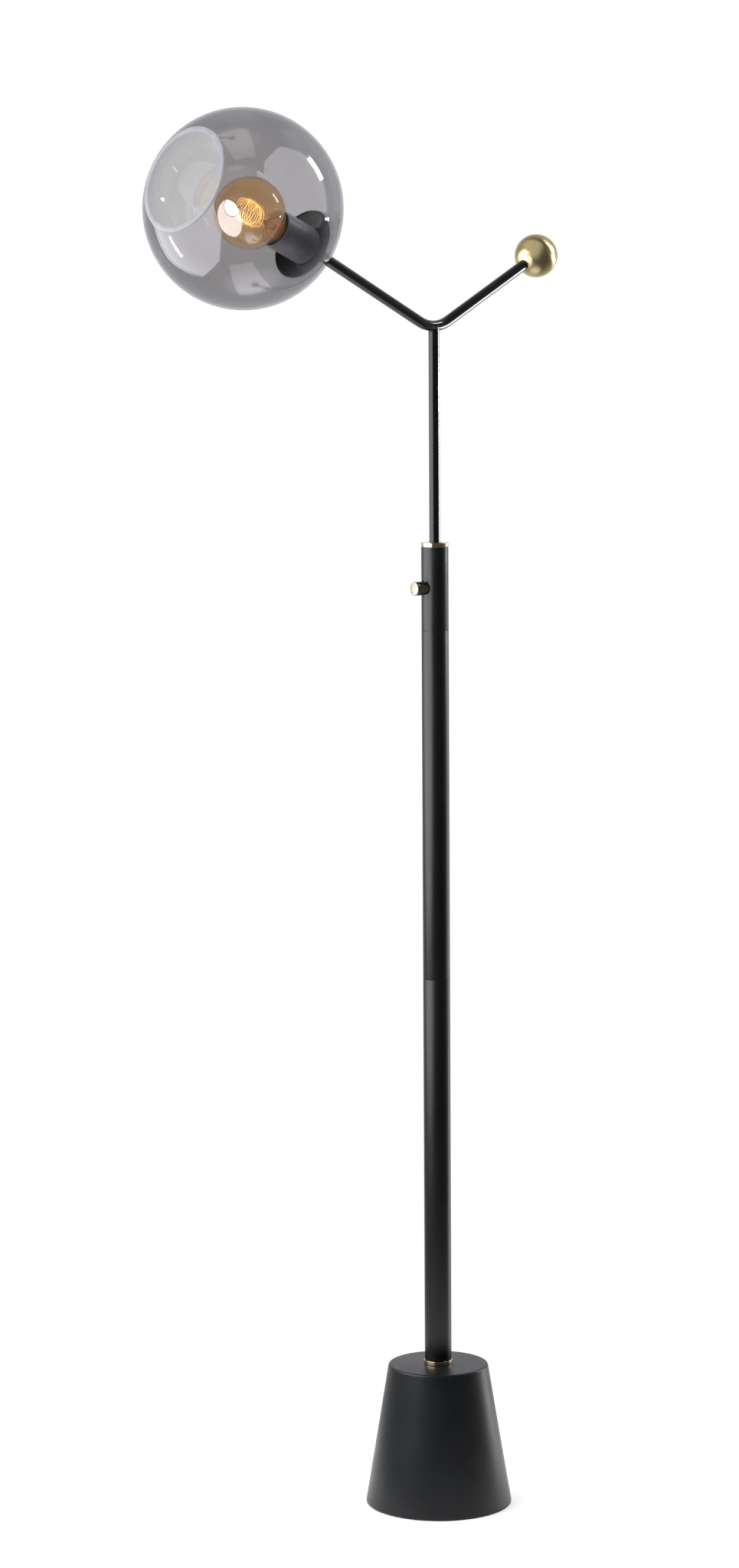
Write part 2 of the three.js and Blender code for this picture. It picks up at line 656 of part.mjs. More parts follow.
// A shallow dish that backs onto the inside of the glass.
function shadeHolder() {
  const front = HOLDER_BACK_RADIUS - HOLDER_THICKNESS;
  const polar = (radius, sphere) => Math.acos(radius / sphere) / RADIANS;
  const rim = HOLDER_RIM_RADIUS - HOLDER_RIM_BEVEL;
  return turned([
    ...arc(0, 0, front, polar(NIPPLE_HOLE, front), polar(rim, front), 4),
    ...arc(
      0,
      0,
      HOLDER_BACK_RADIUS,
      polar(HOLDER_RIM_RADIUS, HOLDER_BACK_RADIUS),
      polar(NIPPLE_HOLE, HOLDER_BACK_RADIUS),
      4,
    ),
    [NIPPLE_HOLE, Math.sqrt(front ** 2 - NIPPLE_HOLE ** 2)],
  ]);
}

function socketCup() {
  const inside = CUP_RADIUS - CUP_WALL;
  return turned([
    [inside, CUP_MOUTH],
    [CUP_RADIUS, CUP_MOUTH],
    [CUP_RADIUS, CUP_BACK],
    [NIPPLE_HOLE, CUP_BACK],
    [NIPPLE_HOLE, CUP_BACK - CUP_FLOOR],
    [inside, CUP_BACK - CUP_FLOOR],
    [inside, CUP_MOUTH],
  ]);
}

function socketBody() {
  const [low, high] = SOCKET_BODY_SPAN;
  const well = SHELL_RADIUS + GAP;
  const leadHole = UPPER_LEAD_RADIUS + 0.4;
  return turned([
    [well, low],
    [SOCKET_BODY_RADIUS, low],
    [SOCKET_BODY_RADIUS, high],
    [leadHole, high],
    [leadHole, SOCKET_WELL_END],
    [well, SOCKET_WELL_END],
    [well, low],
  ]);
}

const washerLow = GLOBE_RADIUS + GAP;
part("glass_shade", glassShade(), SMOKE_GLASS, head);
const seatWasher = ring(NIPPLE_HOLE, WASHER_RADIUS, washerLow, washerLow + WASHER_THICKNESS, NARROW);
part("seat_washer", seatWasher, NICKEL, head);
const nipple = ring(NIPPLE_BORE, NIPPLE_RADIUS, NIPPLE_INNER_END, NIPPLE_OUTER_END, NARROW);
part("arm_nipple", nipple, STEEL, head);
part("shade_holder", shadeHolder(), GLOSS_BLACK, head);
part("socket_cup", socketCup(), DARK_GREY, head);
const socketNutTop = CUP_BACK - CUP_FLOOR - GAP;
const socketNutLow = socketNutTop - SOCKET_NUT_THICKNESS;
part("socket_nut", hexNut(SOCKET_NUT_WIDTH, NIPPLE_HOLE, socketNutLow, socketNutTop), STEEL, head);
part("socket_body", socketBody(), PHENOLIC, head);
part("screw_shell", ring(SHELL_BORE, SHELL_RADIUS, ...SHELL_SPAN), POLISHED_BRASS, head);
const contactTop = SOCKET_WELL_END - GAP;
const centreContact = disc(CONTACT_RADIUS, contactTop - CONTACT_THICKNESS, contactTop, NARROW);
part("centre_contact", centreContact, POLISHED_BRASS, head);

// The bulb's glass is a globe that narrows to a neck, open where the cap closes it.
function bulbGlass() {
  const neckAngle = Math.acos(BULB_NECK_RADIUS / BULB_RADIUS) / RADIANS;
  const inside = BULB_RADIUS - BULB_GLASS;
  const insideNeck = BULB_NECK_RADIUS - BULB_GLASS;
  const insideAngle = Math.acos(insideNeck / inside) / RADIANS;
  const neckBend = CUP_MOUTH + 2;
  const sealLow = CAP_SPAN[0] - SEAL_START;
  const sealEnd = CAP_SPAN[0] + SEAL_DEPTH;
  return turned([
    ...arc(0, BULB_CENTRE, BULB_RADIUS, -90, neckAngle, 9),
    [BULB_NECK_RADIUS, neckBend],
    [BULB_SEAL_RADIUS, sealLow],
    [BULB_SEAL_RADIUS, sealEnd],
    [BULB_SEAL_RADIUS - BULB_GLASS, sealEnd],
    [BULB_SEAL_RADIUS - BULB_GLASS, sealLow],
    [insideNeck, neckBend],
    ...arc(0, BULB_CENTRE, inside, insideAngle, -90, 9),
  ]);
}

function bulbCap() {
  const [low, high] = CAP_SPAN;
  const inside = CAP_RADIUS - CAP_WALL;
  const floor = low + CAP_DEPTH;
  const [contactFoot, contactTip] = CAP_CONTACT_RADII;
  return turned([
    [inside, low],
    [CAP_RADIUS, low],
    [CAP_RADIUS, high - CAP_SHOULDER],
    [CAP_RADIUS - CAP_SHOULDER, high],
    [contactFoot, high + CAP_CONTACT_FOOT],
    [contactTip, CAP_CONTACT_END],
    [0, CAP_CONTACT_END],
    [0, floor],
    [inside, floor],
    [inside, low],
  ]);
}

// The stem flares where it is sealed to the neck, and runs up the middle of the bulb.
function bulbStem() {
  const tip = FILAMENT_SPAN[0] - STEM_TIP_REACH;
  const flare = CAP_SPAN[0] + STEM_FLARE_DEPTH;
  const [neckLow, neckHigh] = STEM_NECK_SPAN;
  return turned(
    [
      [0, tip],
      [STEM_RADIUS, tip + 1],
      [STEM_RADIUS, neckLow],
      [STEM_NECK_RADIUS, neckHigh],
      [STEM_FOOT_RADIUS, flare - STEM_FLARE_LENGTH],
      [STEM_FLARE_RADIUS, flare],
      [0, flare],
    ],
    NARROW,
  );
}

class Helix extends THREE.Curve {
  getPoint(t, target = new THREE.Vector3()) {
    const angle = t * FILAMENT_TURNS * 2 * Math.PI;
    const [low, high] = FILAMENT_SPAN;
    const height = low + (high - low) * t;
    return target.set(FILAMENT_RADIUS * Math.cos(angle), FILAMENT_RADIUS * Math.sin(angle), height);
  }
}

const wireSection = new THREE.Shape().absarc(0, 0, FILAMENT_WIRE, 0, 2 * Math.PI);
const filament = new THREE.ExtrudeGeometry(wireSection, {
  steps: FILAMENT_TURNS * 10,
  curveSegments: 2,
  extrudePath: new Helix(),
});

part("bulb_glass", bulbGlass(), AMBER_GLASS, head);
part("bulb_cap", bulbCap(), NICKEL, head);
part("bulb_stem", bulbStem(), CLEAR_GLASS, head);
part("filament", filament, GLOWING_WIRE, head);

// ---- Leads ----

// The lower lead runs through the ballast's groove, then up the tie tube and the pole to the dimmer.
const leadCorner = new THREE.Vector3(0, 0, GROMMET_HEIGHT);
const leadStart = new THREE.Vector3(LOWER_LEAD_START, 0, GROMMET_HEIGHT);
const dimmerFoot = new THREE.Vector3(0, 0, SWITCH_HEIGHT - DIMMER_HEIGHT / 2 - GAP);
const lead = (start, corner, end, bend, radius) =>
  bentTube(start, corner, end, bend, radius, 0, LEAD_FACETS, LEAD_BEND_STEPS);
const lowerLead = lead(leadStart, leadCorner, dimmerFoot, LOWER_LEAD_BEND, LOWER_LEAD_RADIUS);
part("lead_lower", lowerLead, RUBBER);

// The upper lead runs from the dimmer up the riser and out along the arm to its end, where a second
// length in the head's own line goes on through the nipple to the socket.
const dimmerTop = new THREE.Vector3(0, 0, SWITCH_HEIGHT + DIMMER_HEIGHT / 2 + GAP);
const armLeadEnd = vertex.clone().addScaledVector(globeLeg, GLOBE_LEG_LENGTH - UPPER_LEAD_END);
const upperLead = lead(dimmerTop, vertex, armLeadEnd, UPPER_LEAD_BEND, UPPER_LEAD_RADIUS);
part("lead_upper", upperLead, RUBBER);
part("socket_lead", disc(UPPER_LEAD_RADIUS, contactTop + GAP, NIPPLE_OUTER_END, 12), RUBBER, head);

export default lamp;
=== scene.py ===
import math
import random

import bmesh
import bpy
from mathutils import Matrix, Vector


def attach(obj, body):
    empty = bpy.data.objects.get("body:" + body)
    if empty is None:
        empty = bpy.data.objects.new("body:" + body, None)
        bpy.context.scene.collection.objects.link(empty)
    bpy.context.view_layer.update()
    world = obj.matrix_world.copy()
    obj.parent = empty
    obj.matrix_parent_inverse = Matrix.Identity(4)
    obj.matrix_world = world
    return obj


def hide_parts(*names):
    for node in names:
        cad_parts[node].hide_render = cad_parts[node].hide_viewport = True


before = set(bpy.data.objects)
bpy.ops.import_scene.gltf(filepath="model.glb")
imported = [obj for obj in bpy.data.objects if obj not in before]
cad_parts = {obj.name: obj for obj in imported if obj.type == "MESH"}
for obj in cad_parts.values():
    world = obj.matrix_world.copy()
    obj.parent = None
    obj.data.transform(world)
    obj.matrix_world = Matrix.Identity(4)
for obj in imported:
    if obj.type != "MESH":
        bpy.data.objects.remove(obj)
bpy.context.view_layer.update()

MM = 0.001

# Driving dimensions, in millimetres and degrees, as in the CAD part.
GAP = 0.3
BASE_HEIGHT = 167.4
BASE_FOOT_RADIUS = 86.7
BASE_TOP_RADIUS = 59.0
BASE_WALL = 1.6
BASE_LIFT = 1.0
PAD_THICKNESS = 3.0
GROMMET_HEIGHT = 11.0
GROMMET_HOLE_RADIUS = 4.7
GROMMET_HOLE_REACH = (-6, 4)
GROMMET_BORE = 2.8
GROMMET_NECK_RADIUS = 4.3
GROMMET_INNER_RADIUS = 5.6
GROMMET_INNER_THICKNESS = 1.6
GROMMET_OUTER_RADIUS = 6.2
GROMMET_OUTER_HEIGHT = 2.1
GROMMET_SLACK = 0.5  # behind the shell's wall
PAD_CLEARANCE = 0.8
TIE_HOLE = 5.1
FOOT_RING_RADIUS = 16.75
FOOT_RING_TOP = 172.4
POLE_RADIUS = 15.875
POLE_BORE = 14.375
POLE_LINER = 14.05
LOWER_SEAM = 630.2
UPPER_SEAM = 1040.4
POLE_TOP = 1137.7
SWITCH_HEIGHT = 1090.0
SWITCH_AZIMUTH = 171.0
KNOB_RADIUS = 8.0
KNOB_BACK = 14.4
KNOB_FACE = 30.4
KNOB_CLEARANCE = 0.7
KNOB_HOLE_REACH = (5, 25)
KNOB_SKIRT_BORE = 6.9
KNOB_SKIRT_DEPTH = 3.6
SHAFT_HOLE_RADIUS = 3.1
SHAFT_HOLE_END = 25.8
DOT_PLACE = (4.5, -4.2, 0)
DOT_RADIUS = 0.8
DOT_DEPTH = 0.5
DOT_PAINT_RADIUS = 0.78
DOT_PAINT_DOWN = 0.15  # of the paint's surface, below the knob's face
COLLAR_RADIUS = 15.95
COLLAR_BORE = 8.2
COLLAR_HEIGHT = 5.0
COLLAR_LIP = 2.4
COLLAR_LIP_CLEARANCE = 0.4
SPIGOT_LOW = 1117.6
RISER_FOOT = 1112.2
TUBE_RADIUS = 6.35
TUBE_BORE = 5.35
VERTEX_HEIGHT = 1386.7
BEND_RADIUS = 55.0
RISER_SINK = 0.4  # of the riser's top into the arm's wall
WELD_RADIUS = 0.75
GLOBE_LEG_RISE = 24.8
GLOBE_LEG_LENGTH = 217.0
BALL_LEG_RISE = 26.8
BALL_DISTANCE = 196.3
BALL_RADIUS = 25.4
BALL_FLAT = 24.5
STUD_HOLE_RADIUS = 3.3
STUD_HOLE_DEPTH = 18
HEAD_RISE = 22.26
MOUTH_RISE = 19.15
HEAD_OFFSET = 112.6
GLOBE_RADIUS = 110.5
GLOBE_WALL = 2.6
MOUTH_DISTANCE = 93.2
MOUTH_LIP = 0.55  # the softened edges of the mouth
NIPPLE_HOLE = 5.2
NIPPLE_DRILL_REACH = 8
WASHER_RADIUS = 6.9
WASHER_THICKNESS = 1.2
HOLDER_BACK_RADIUS = 107.0
HOLDER_THICKNESS = 1.4
HOLDER_RIM_RADIUS = 40.5
HOLDER_BEAD = 1.1
CUP_RADIUS = 21.75
CUP_MOUTH = 51.5
CUP_BACK = 103.2
CUP_WALL = 1
CUP_FLOOR = 1.5
BULB_RADIUS = 40.1
BULB_CENTRE = 10.7
BULB_GLASS = 0.9
BULB_NECK_RADIUS = 13.5
BULB_SEAL_RADIUS = 12.2
CAP_LOW = 61.0
SEAL_START = 1  # of the bulb's seal, ahead of the cap
SEAL_DEPTH = 5
STEM_RADIUS = 1.5
STEM_FOOT_RADIUS = 3.6
STEM_END = 69.5
REFLECTOR_HOLE = 4.0
REFLECTOR_RADIUS = 11.9
FILAMENT_RADIUS = 13.4
FILAMENT_LOW = -5.0
FILAMENT_HIGH = 25.0
FILAMENT_TURNS = 8
FILAMENT_WIRE = 0.13
FILAMENT_DRIFT = 0.9  # of the loops, in and out
FILAMENT_TILT = 2.6  # of each loop
HOOKS = 6  # at each end of the filament
HOOK_WIRE = 0.14
LEAD_IN_WIRE = 0.25

# Facets round a circle
ROUND = 128
SMALL = 64
FINE_ROUND = 160
BEND_STEPS = 32
STRAIGHT_STEPS = 6
RISER_SEGMENTS = 96


# ---- Camera ----

CAMERA_PLACE = Vector((-3.2935, -3.1658, 1.3691))
CAMERA_HEADING = math.radians(44.84)
CAMERA_PITCH = math.radians(-6.35)
CAMERA_ROLL = math.radians(-0.35)
CAMERA_LENS = 90.17


def camera_axes():
    forward = Vector(
        (
            math.cos(CAMERA_HEADING) * math.cos(CAMERA_PITCH),
            math.sin(CAMERA_HEADING) * math.cos(CAMERA_PITCH),
            math.sin(CAMERA_PITCH),
        )
    )
    level = Vector((math.sin(CAMERA_HEADING), -math.cos(CAMERA_HEADING), 0))
    raised = level.cross(forward)
    right = level * math.cos(CAMERA_ROLL) + raised * math.sin(CAMERA_ROLL)
    up = raised * math.cos(CAMERA_ROLL) - level * math.sin(CAMERA_ROLL)
    return right, up, -forward


def make_camera():
    data = bpy.data.cameras.new("camera")
    data.lens = CAMERA_LENS
    data.clip_end = 50
    camera = bpy.data.objects.new("camera", data)
    bpy.context.scene.collection.objects.link(camera)
    camera.matrix_world = Matrix.Translation(CAMERA_PLACE) @ Matrix(camera_axes()).transposed().to_4x4()
    bpy.context.scene.camera = camera


# ---- Places ----


def along(rise, side):
    angle = math.radians(rise)
    return Vector((side * math.cos(angle), 0, math.sin(angle)))


def turn(angle, axis):
    return Matrix.Rotation(math.radians(angle), 4, axis)


def at(point):
    return Matrix.Translation(Vector(point) * MM)


VERTEX = Vector((0, 0, VERTEX_HEIGHT))
GLOBE_LEG = along(GLOBE_LEG_RISE, -1)
BALL_LEG = along(BALL_LEG_RISE, 1)
GLOBE_LEG_END = VERTEX + GLOBE_LEG * GLOBE_LEG_LENGTH
BALL_LEG_END = VERTEX + BALL_LEG * (BALL_DISTANCE - BALL_FLAT - GAP)
BALL_CENTRE = VERTEX + BALL_LEG * BALL_DISTANCE
GLOBE_CENTRE = GLOBE_LEG_END + along(HEAD_RISE, -1) * HEAD_OFFSET
BASE_LEAN = math.atan((BASE_FOOT_RADIUS - BASE_TOP_RADIUS) / BASE_HEIGHT)

HEAD = at(GLOBE_CENTRE) @ turn(90 + HEAD_RISE, "Y")
MOUTH = HEAD @ turn(MOUTH_RISE - HEAD_RISE, "Y")
SWITCH = at((0, 0, SWITCH_HEIGHT)) @ turn(SWITCH_AZIMUTH, "Z") @ turn(90, "Y")
BALL = at(BALL_CENTRE) @ (-BALL_LEG).to_track_quat("Z", "Y").to_matrix().to_4x4()


def base_radius(height):
    return BASE_FOOT_RADIUS - height * math.tan(BASE_LEAN)


def base_bore(height):
    return base_radius(height) - BASE_WALL / math.cos(BASE_LEAN)


GROMMET = at((base_radius(GROMMET_HEIGHT), 0, GROMMET_HEIGHT)) @ turn(90 - math.degrees(BASE_LEAN), "Y")


# ---- Mesh tools ----


def filleted(corners, steps=6):
    """The outline of (radius, height) or (radius, height, fillet) corners, with the fillets as arcs."""
    outline = []
    for i, corner in enumerate(corners):
        point = Vector(corner[:2])
        if len(corner) < 3:
            outline.append(point)
            continue
        size = corner[2]
        before = (Vector(corners[i - 1][:2]) - point).normalized()
        after = (Vector(corners[(i + 1) % len(corners)][:2]) - point).normalized()
        half = before.angle(after) / 2
        setback = size / math.tan(half)
        centre = point + (before + after).normalized() * (size / math.sin(half))
        start = point + before * setback - centre
        end = point + after * setback - centre
        first = math.atan2(start.y, start.x)
        sweep = (math.atan2(end.y, end.x) - first + math.pi) % (2 * math.pi) - math.pi
        for step in range(steps + 1):
            angle = first + sweep * step / steps
            outline.append(centre + Vector((math.cos(angle), math.sin(angle))) * size)
    return outline


def arc(height, radius, first, last, steps):
    """Points of a profile's arc about a centre on the axis, between two angles in degrees."""
    points = []
    for step in range(steps + 1):
        angle = math.radians(first + (last - first) * step / steps)
        points.append(Vector((radius * math.cos(angle), height + radius * math.sin(angle))))
    return points


def turned(profile, segments=ROUND):
    """Vertices and faces of a closed profile turned round +Z."""
    vertices, rings, faces = [], [], []
    for radius, height in profile:
        if radius < 1e-6:
            rings.append([len(vertices)] * segments)
            vertices.append((0, 0, height))
            continue
        rings.append([len(vertices) + i for i in range(segments)])
        for i in range(segments):
            angle = 2 * math.pi * i / segments
            vertices.append((radius * math.cos(angle), radius * math.sin(angle), height))
    for low, high in zip(rings, rings[1:] + rings[:1]):
        for i in range(segments):
            j = (i + 1) % segments
            face = list(dict.fromkeys((low[i], low[j], high[j], high[i])))
            if len(face) > 2:
                faces.append(face)
    return vertices, faces


def bands(rows, segments, closed=True):
    """Faces that join rings of vertices, and the last ring to the first if closed."""
    faces = []
    for row in range(rows if closed else rows - 1):
        here, there = row * segments, (row + 1) % rows * segments
        for i in range(segments):
            j = (i + 1) % segments
            faces.append((here + i, here + j, there + j, there + i))
    return faces


def swept(stations, radius, segments=12, closed=False):
    """Vertices and faces of a round rod along (point, normal, side) stations."""
    vertices = []
    for point, normal, side in stations:
        for i in range(segments):
            angle = 2 * math.pi * i / segments
            vertices.append(point + (normal * math.cos(angle) + side * math.sin(angle)) * radius)
    count = len(stations)
    faces = bands(count, segments, closed)
    if not closed:
        faces.append(list(range(segments)))
        faces.append([(count - 1) * segments + i for i in range(segments)])
    return vertices, faces


def stations_along(points, closed=False):
    """Stations for swept() with the frame carried along the points, so that it doesn't twist."""
    stations, normal = [], None
    last = len(points) - 1
    for i, point in enumerate(points):
        before = points[i - 1] if closed or i > 0 else point
        after = points[(i + 1) % len(points)] if closed or i < last else point
        tangent = (after - before).normalized()
        if normal is None:
            normal = tangent.orthogonal().normalized()
        normal = (normal - tangent * normal.dot(tangent)).normalized()
        stations.append((point, normal.copy(), tangent.cross(normal)))
    return stations


def solid(name, shape, finish, place=None, sharp=32):
    """An object from millimetre vertices and faces, smooth except at edges sharper than the angle."""
    vertices, faces = shape
    place = place or Matrix.Identity(4)
    mesh = bpy.data.meshes.new(name)
    mesh.from_pydata([place @ (Vector(v) * MM) for v in vertices], [], faces)
    work = bmesh.new()
    work.from_mesh(mesh)
    bmesh.ops.recalc_face_normals(work, faces=work.faces)
    work.to_mesh(mesh)
    work.free()
    mesh.shade_smooth()
    mesh.set_sharp_from_angle(angle=math.radians(sharp))
    mesh.materials.append(finish)
    piece = bpy.data.objects.new(name, mesh)
    bpy.context.scene.collection.objects.link(piece)
    return piece


def unwrap_around(piece, place):
    """UVs that run round a turned piece's axis, which is the Z axis of its place."""
    layer = piece.data.uv_layers.new(name="around")
    back = place.inverted()
    for face in piece.data.polygons:
        middle = back @ face.center
        face_angle = math.atan2(middle.y, middle.x)
        for loop in face.loop_indices:
            point = back @ piece.data.vertices[piece.data.loops[loop].vertex_index].co
            if math.hypot(point.x, point.y) < 1e-7:
                turned_by = 0
            else:
                turned_by = (math.atan2(point.y, point.x) - face_angle + math.pi) % (2 * math.pi) - math.pi
            layer.data[loop].uv = ((face_angle + turned_by) / (2 * math.pi), point.z * 10)
    return piece


def bored(piece, cutter, sharp=32):
    """The piece with the cutter taken out of it. The cutter is thrown away."""
    bpy.context.view_layer.update()
    cut = piece.modifiers.new("bore", "BOOLEAN")
    cut.object = cutter
    cut.operation = "DIFFERENCE"
    cut.solver = "EXACT"
    evaluated = piece.evaluated_get(bpy.context.evaluated_depsgraph_get())
    mesh = bpy.data.meshes.new_from_object(evaluated)
    piece.modifiers.clear()
    name = piece.data.name
    piece.data.name = name + ".blank"
    piece.data = mesh
    mesh.name = name
    mesh.shade_smooth()
    mesh.set_sharp_from_angle(angle=math.radians(sharp))
    bpy.data.objects.remove(cutter)
    return piece


def mount(piece, body, slot, *nodes):
    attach(piece, body)
    if nodes:
        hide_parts(*nodes)
    return piece


def rod(radius, low, high, segments=SMALL):
    return turned([(0, low), (radius, low), (radius, high), (0, high)], segments)


# ---- Materials ----

NOISE_ROUGHNESS = 0.6
GLASS_IOR = 1.5
EDGE_SHARPNESS = 3.0  # how close to the globe's outline its edge tint and film stay


def set_inputs(node, **values):
    """Sets the node's sockets, with _ for each space in their names."""
    for key, value in values.items():
        node.inputs[key.replace("_", " ")].default_value = value


def new_material(name):
    material = bpy.data.materials.new(name)
    material.use_nodes = True
    nodes = material.node_tree.nodes
    return material, nodes, material.node_tree.links, nodes["Principled BSDF"]


def grain_of(nodes, links, stretch, frame_of=None, detail=4.0):
    """Noise in the lamp's own coordinates, or a turned piece's, stretched to a grain, as a 0 to 1 value."""
    frame_of = frame_of or Matrix.Identity(4)
    coordinates = nodes.new("ShaderNodeTexCoord")
    local = nodes.new("ShaderNodeMapping")
    local.vector_type = "TEXTURE"
    set_inputs(local, Location=frame_of.to_translation(), Rotation=frame_of.to_euler())
    mapping = nodes.new("ShaderNodeMapping")
    mapping.inputs["Scale"].default_value = stretch
    noise = nodes.new("ShaderNodeTexNoise")
    set_inputs(noise, Scale=1.0, Detail=detail, Roughness=NOISE_ROUGHNESS)
    links.new(coordinates.outputs["Object"], local.inputs["Vector"])
    links.new(local.outputs["Vector"], mapping.inputs["Vector"])
    links.new(mapping.outputs["Vector"], noise.inputs["Vector"])
    return noise.outputs["Fac"]


def ranged(nodes, links, value, low, high, start=0.3, end=0.7):
    spread = nodes.new("ShaderNodeMapRange")
    set_inputs(spread, From_Min=start, From_Max=end, To_Min=low, To_Max=high)
    links.new(value, spread.inputs["Value"])
    return spread.outputs["Result"]


def blended(nodes, links, value, first, second):
    blend = nodes.new("ShaderNodeMix")
    blend.data_type = "RGBA"
    set_inputs(blend, A=(*first, 1), B=(*second, 1))
    links.new(value, blend.inputs["Factor"])
    return blend.outputs["Result"]


def toned(nodes, links, value, dark, light):
    return blended(nodes, links, ranged(nodes, links, value, 0, 1), dark, light)


def even(scale):
    """The same stretch along all three axes."""
    return (scale, scale, scale)


def finish(
    name, dark, light, roughness, metallic=0.0, *, grain, fine, bump, depth=0.0001, frame_of=None, **sockets
):
    """A finish that drifts between two colours and two roughnesses, with a fine grain in relief."""
    material, nodes, links, shader = new_material(name)
    drift = grain_of(nodes, links, grain, frame_of)
    links.new(toned(nodes, links, drift, dark, light), shader.inputs["Base Color"])
    links.new(ranged(nodes, links, drift, *roughness), shader.inputs["Roughness"])
    set_inputs(shader, Metallic=metallic, **sockets)
    relief = nodes.new("ShaderNodeBump")
    set_inputs(relief, Strength=bump, Distance=depth)
    links.new(grain_of(nodes, links, fine, frame_of, detail=2.0), relief.inputs["Height"])
    links.new(relief.outputs["Normal"], shader.inputs["Normal"])
    return material


def satin_black():
    """Fine powder coat with a faint orange peel, on the base and the pole."""
    return finish(
        "satin_black_paint", dark=(0.0035, 0.004, 0.0052), light=(0.006, 0.0068, 0.0085),
        roughness=(0.33, 0.41), grain=even(14), fine=even(1400), bump=0.06, IOR=GLASS_IOR
    )


def holder_black():
    """Glossy enamel, on the dish behind the bulb."""
    return finish(
        "holder_black_enamel", dark=(0.001, 0.001, 0.001), light=(0.002, 0.002, 0.0022),
        roughness=(0.05, 0.10), grain=even(25), fine=even(500), bump=0.01
    )


def gloss_black():
    """Glossy lacquer, on the riser and the arm."""
    return finish(
        "gloss_black_paint", dark=(0.0025, 0.0027, 0.0036), light=(0.0045, 0.0048, 0.006),
        roughness=(0.14, 0.19), grain=even(25), fine=even(500), bump=0.01, Coat_Weight=0.6,
        Coat_Roughness=0.08
    )


def polished_brass():
    """Lathe-polished: fine rings run round the axis."""
    return finish(
        "polished_brass", dark=(0.72, 0.57, 0.30), light=(0.86, 0.71, 0.42),
        roughness=(0.13, 0.22), metallic=1.0, grain=(40, 40, 900), fine=(30, 30, 6000), bump=0.05
    )


def brushed_brass():
    """Brushed round the ball's own axis, so that highlights fan out from its ends."""
    material = finish(
        "brushed_brass", dark=(0.62, 0.49, 0.25), light=(0.76, 0.62, 0.36),
        roughness=(0.28, 0.33), metallic=1.0, grain=(20, 20, 250), fine=(60, 60, 2500), bump=0.006,
        frame_of=BALL, Anisotropic=0.75
    )
    nodes, links = material.node_tree.nodes, material.node_tree.links
    around = nodes.new("ShaderNodeTangent")
    around.direction_type = "UV_MAP"
    around.uv_map = "around"
    links.new(around.outputs["Tangent"], nodes["Principled BSDF"].inputs["Tangent"])
    return material


def champagne_metal():
    return finish(
        "champagne_metal", dark=(0.27, 0.24, 0.205), light=(0.33, 0.295, 0.255),
        roughness=(0.24, 0.30), metallic=1.0, grain=(120, 120, 400), fine=(60, 60, 5000), bump=0.01,
        frame_of=SWITCH
    )


def nickel():
    return finish(
        "nickel_plate", dark=(0.62, 0.61, 0.58), light=(0.74, 0.73, 0.71),
        roughness=(0.10, 0.20), metallic=1.0, grain=(200, 200, 600), fine=(500, 500, 2500), bump=0.04,
        frame_of=HEAD
    )


def steel():
    return finish(
        "zinc_steel", dark=(0.30, 0.31, 0.33), light=(0.42, 0.43, 0.44),
        roughness=(0.34, 0.52), metallic=0.9, grain=(120, 120, 400), fine=(700, 700, 3000), bump=0.12
    )


def cast_iron():
    return finish(
        "cast_iron", dark=(0.045, 0.043, 0.042), light=(0.095, 0.09, 0.086),
        roughness=(0.65, 0.9), metallic=0.35, grain=even(90), fine=even(420), bump=0.6, depth=0.0006
    )


def felt():
    return finish(
        "black_felt", dark=(0.008, 0.008, 0.009), light=(0.024, 0.024, 0.026),
        roughness=(0.9, 1.0), grain=even(500), fine=(1800, 1800, 900), bump=0.8, depth=0.0004,
        Sheen_Weight=0.4, Sheen_Roughness=0.5
    )


def rubber():
    return finish(
        "black_rubber", dark=(0.010, 0.010, 0.011), light=(0.018, 0.018, 0.019),
        roughness=(0.55, 0.75), grain=even(150), fine=even(900), bump=0.2, depth=0.0002
    )


def dark_grey_metal():
    return finish(
        "dark_grey_metal", dark=(0.31, 0.312, 0.35), light=(0.39, 0.392, 0.436),
        roughness=(0.28, 0.38), metallic=0.2, grain=(40, 40, 200), fine=even(900), bump=0.08, frame_of=HEAD
    )


def phenolic():
    return finish(
        "brown_phenolic", dark=(0.010, 0.008, 0.006), light=(0.026, 0.021, 0.016),
        roughness=(0.35, 0.5), grain=even(180), fine=even(700), bump=0.15, depth=0.0002
    )


def nylon():
    return finish(
        "white_nylon", dark=(0.58, 0.56, 0.50), light=(0.70, 0.68, 0.62),
        roughness=(0.42, 0.55), grain=even(90), fine=even(600), bump=0.1, depth=0.0002,
        Subsurface_Weight=0.1, Subsurface_Scale=0.002
    )


def index_paint():
    return finish(
        "index_paint", dark=(0.006, 0.006, 0.006), light=(0.014, 0.014, 0.014),
        roughness=(0.4, 0.6), grain=even(900), fine=even(3000), bump=0.2
    )


def copper_foil():
    """The reflective seal in the bulb's neck, crinkled, with a painted red glow that stands in for the
    filament's light on it.
    """
    material = finish(
        "copper_foil", dark=(0.30, 0.10, 0.07), light=(0.80, 0.42, 0.32),
        roughness=(0.25, 0.45), metallic=0.5, grain=even(700), fine=even(900), bump=0.8, depth=0.0006
    )
    nodes, links = material.node_tree.nodes, material.node_tree.links
    shader = nodes["Principled BSDF"]
    # Painted light: the emission is a red glow that stands in for the filament's light on the foil; the
    # foil is no lamp.
    drift = grain_of(nodes, links, even(700))
    glow = toned(nodes, links, drift, (0.30, 0.06, 0.03), (1.0, 0.42, 0.28))
    links.new(glow, shader.inputs["Emission Color"])
    shader.inputs["Emission Strength"].default_value = 0.45
    return material


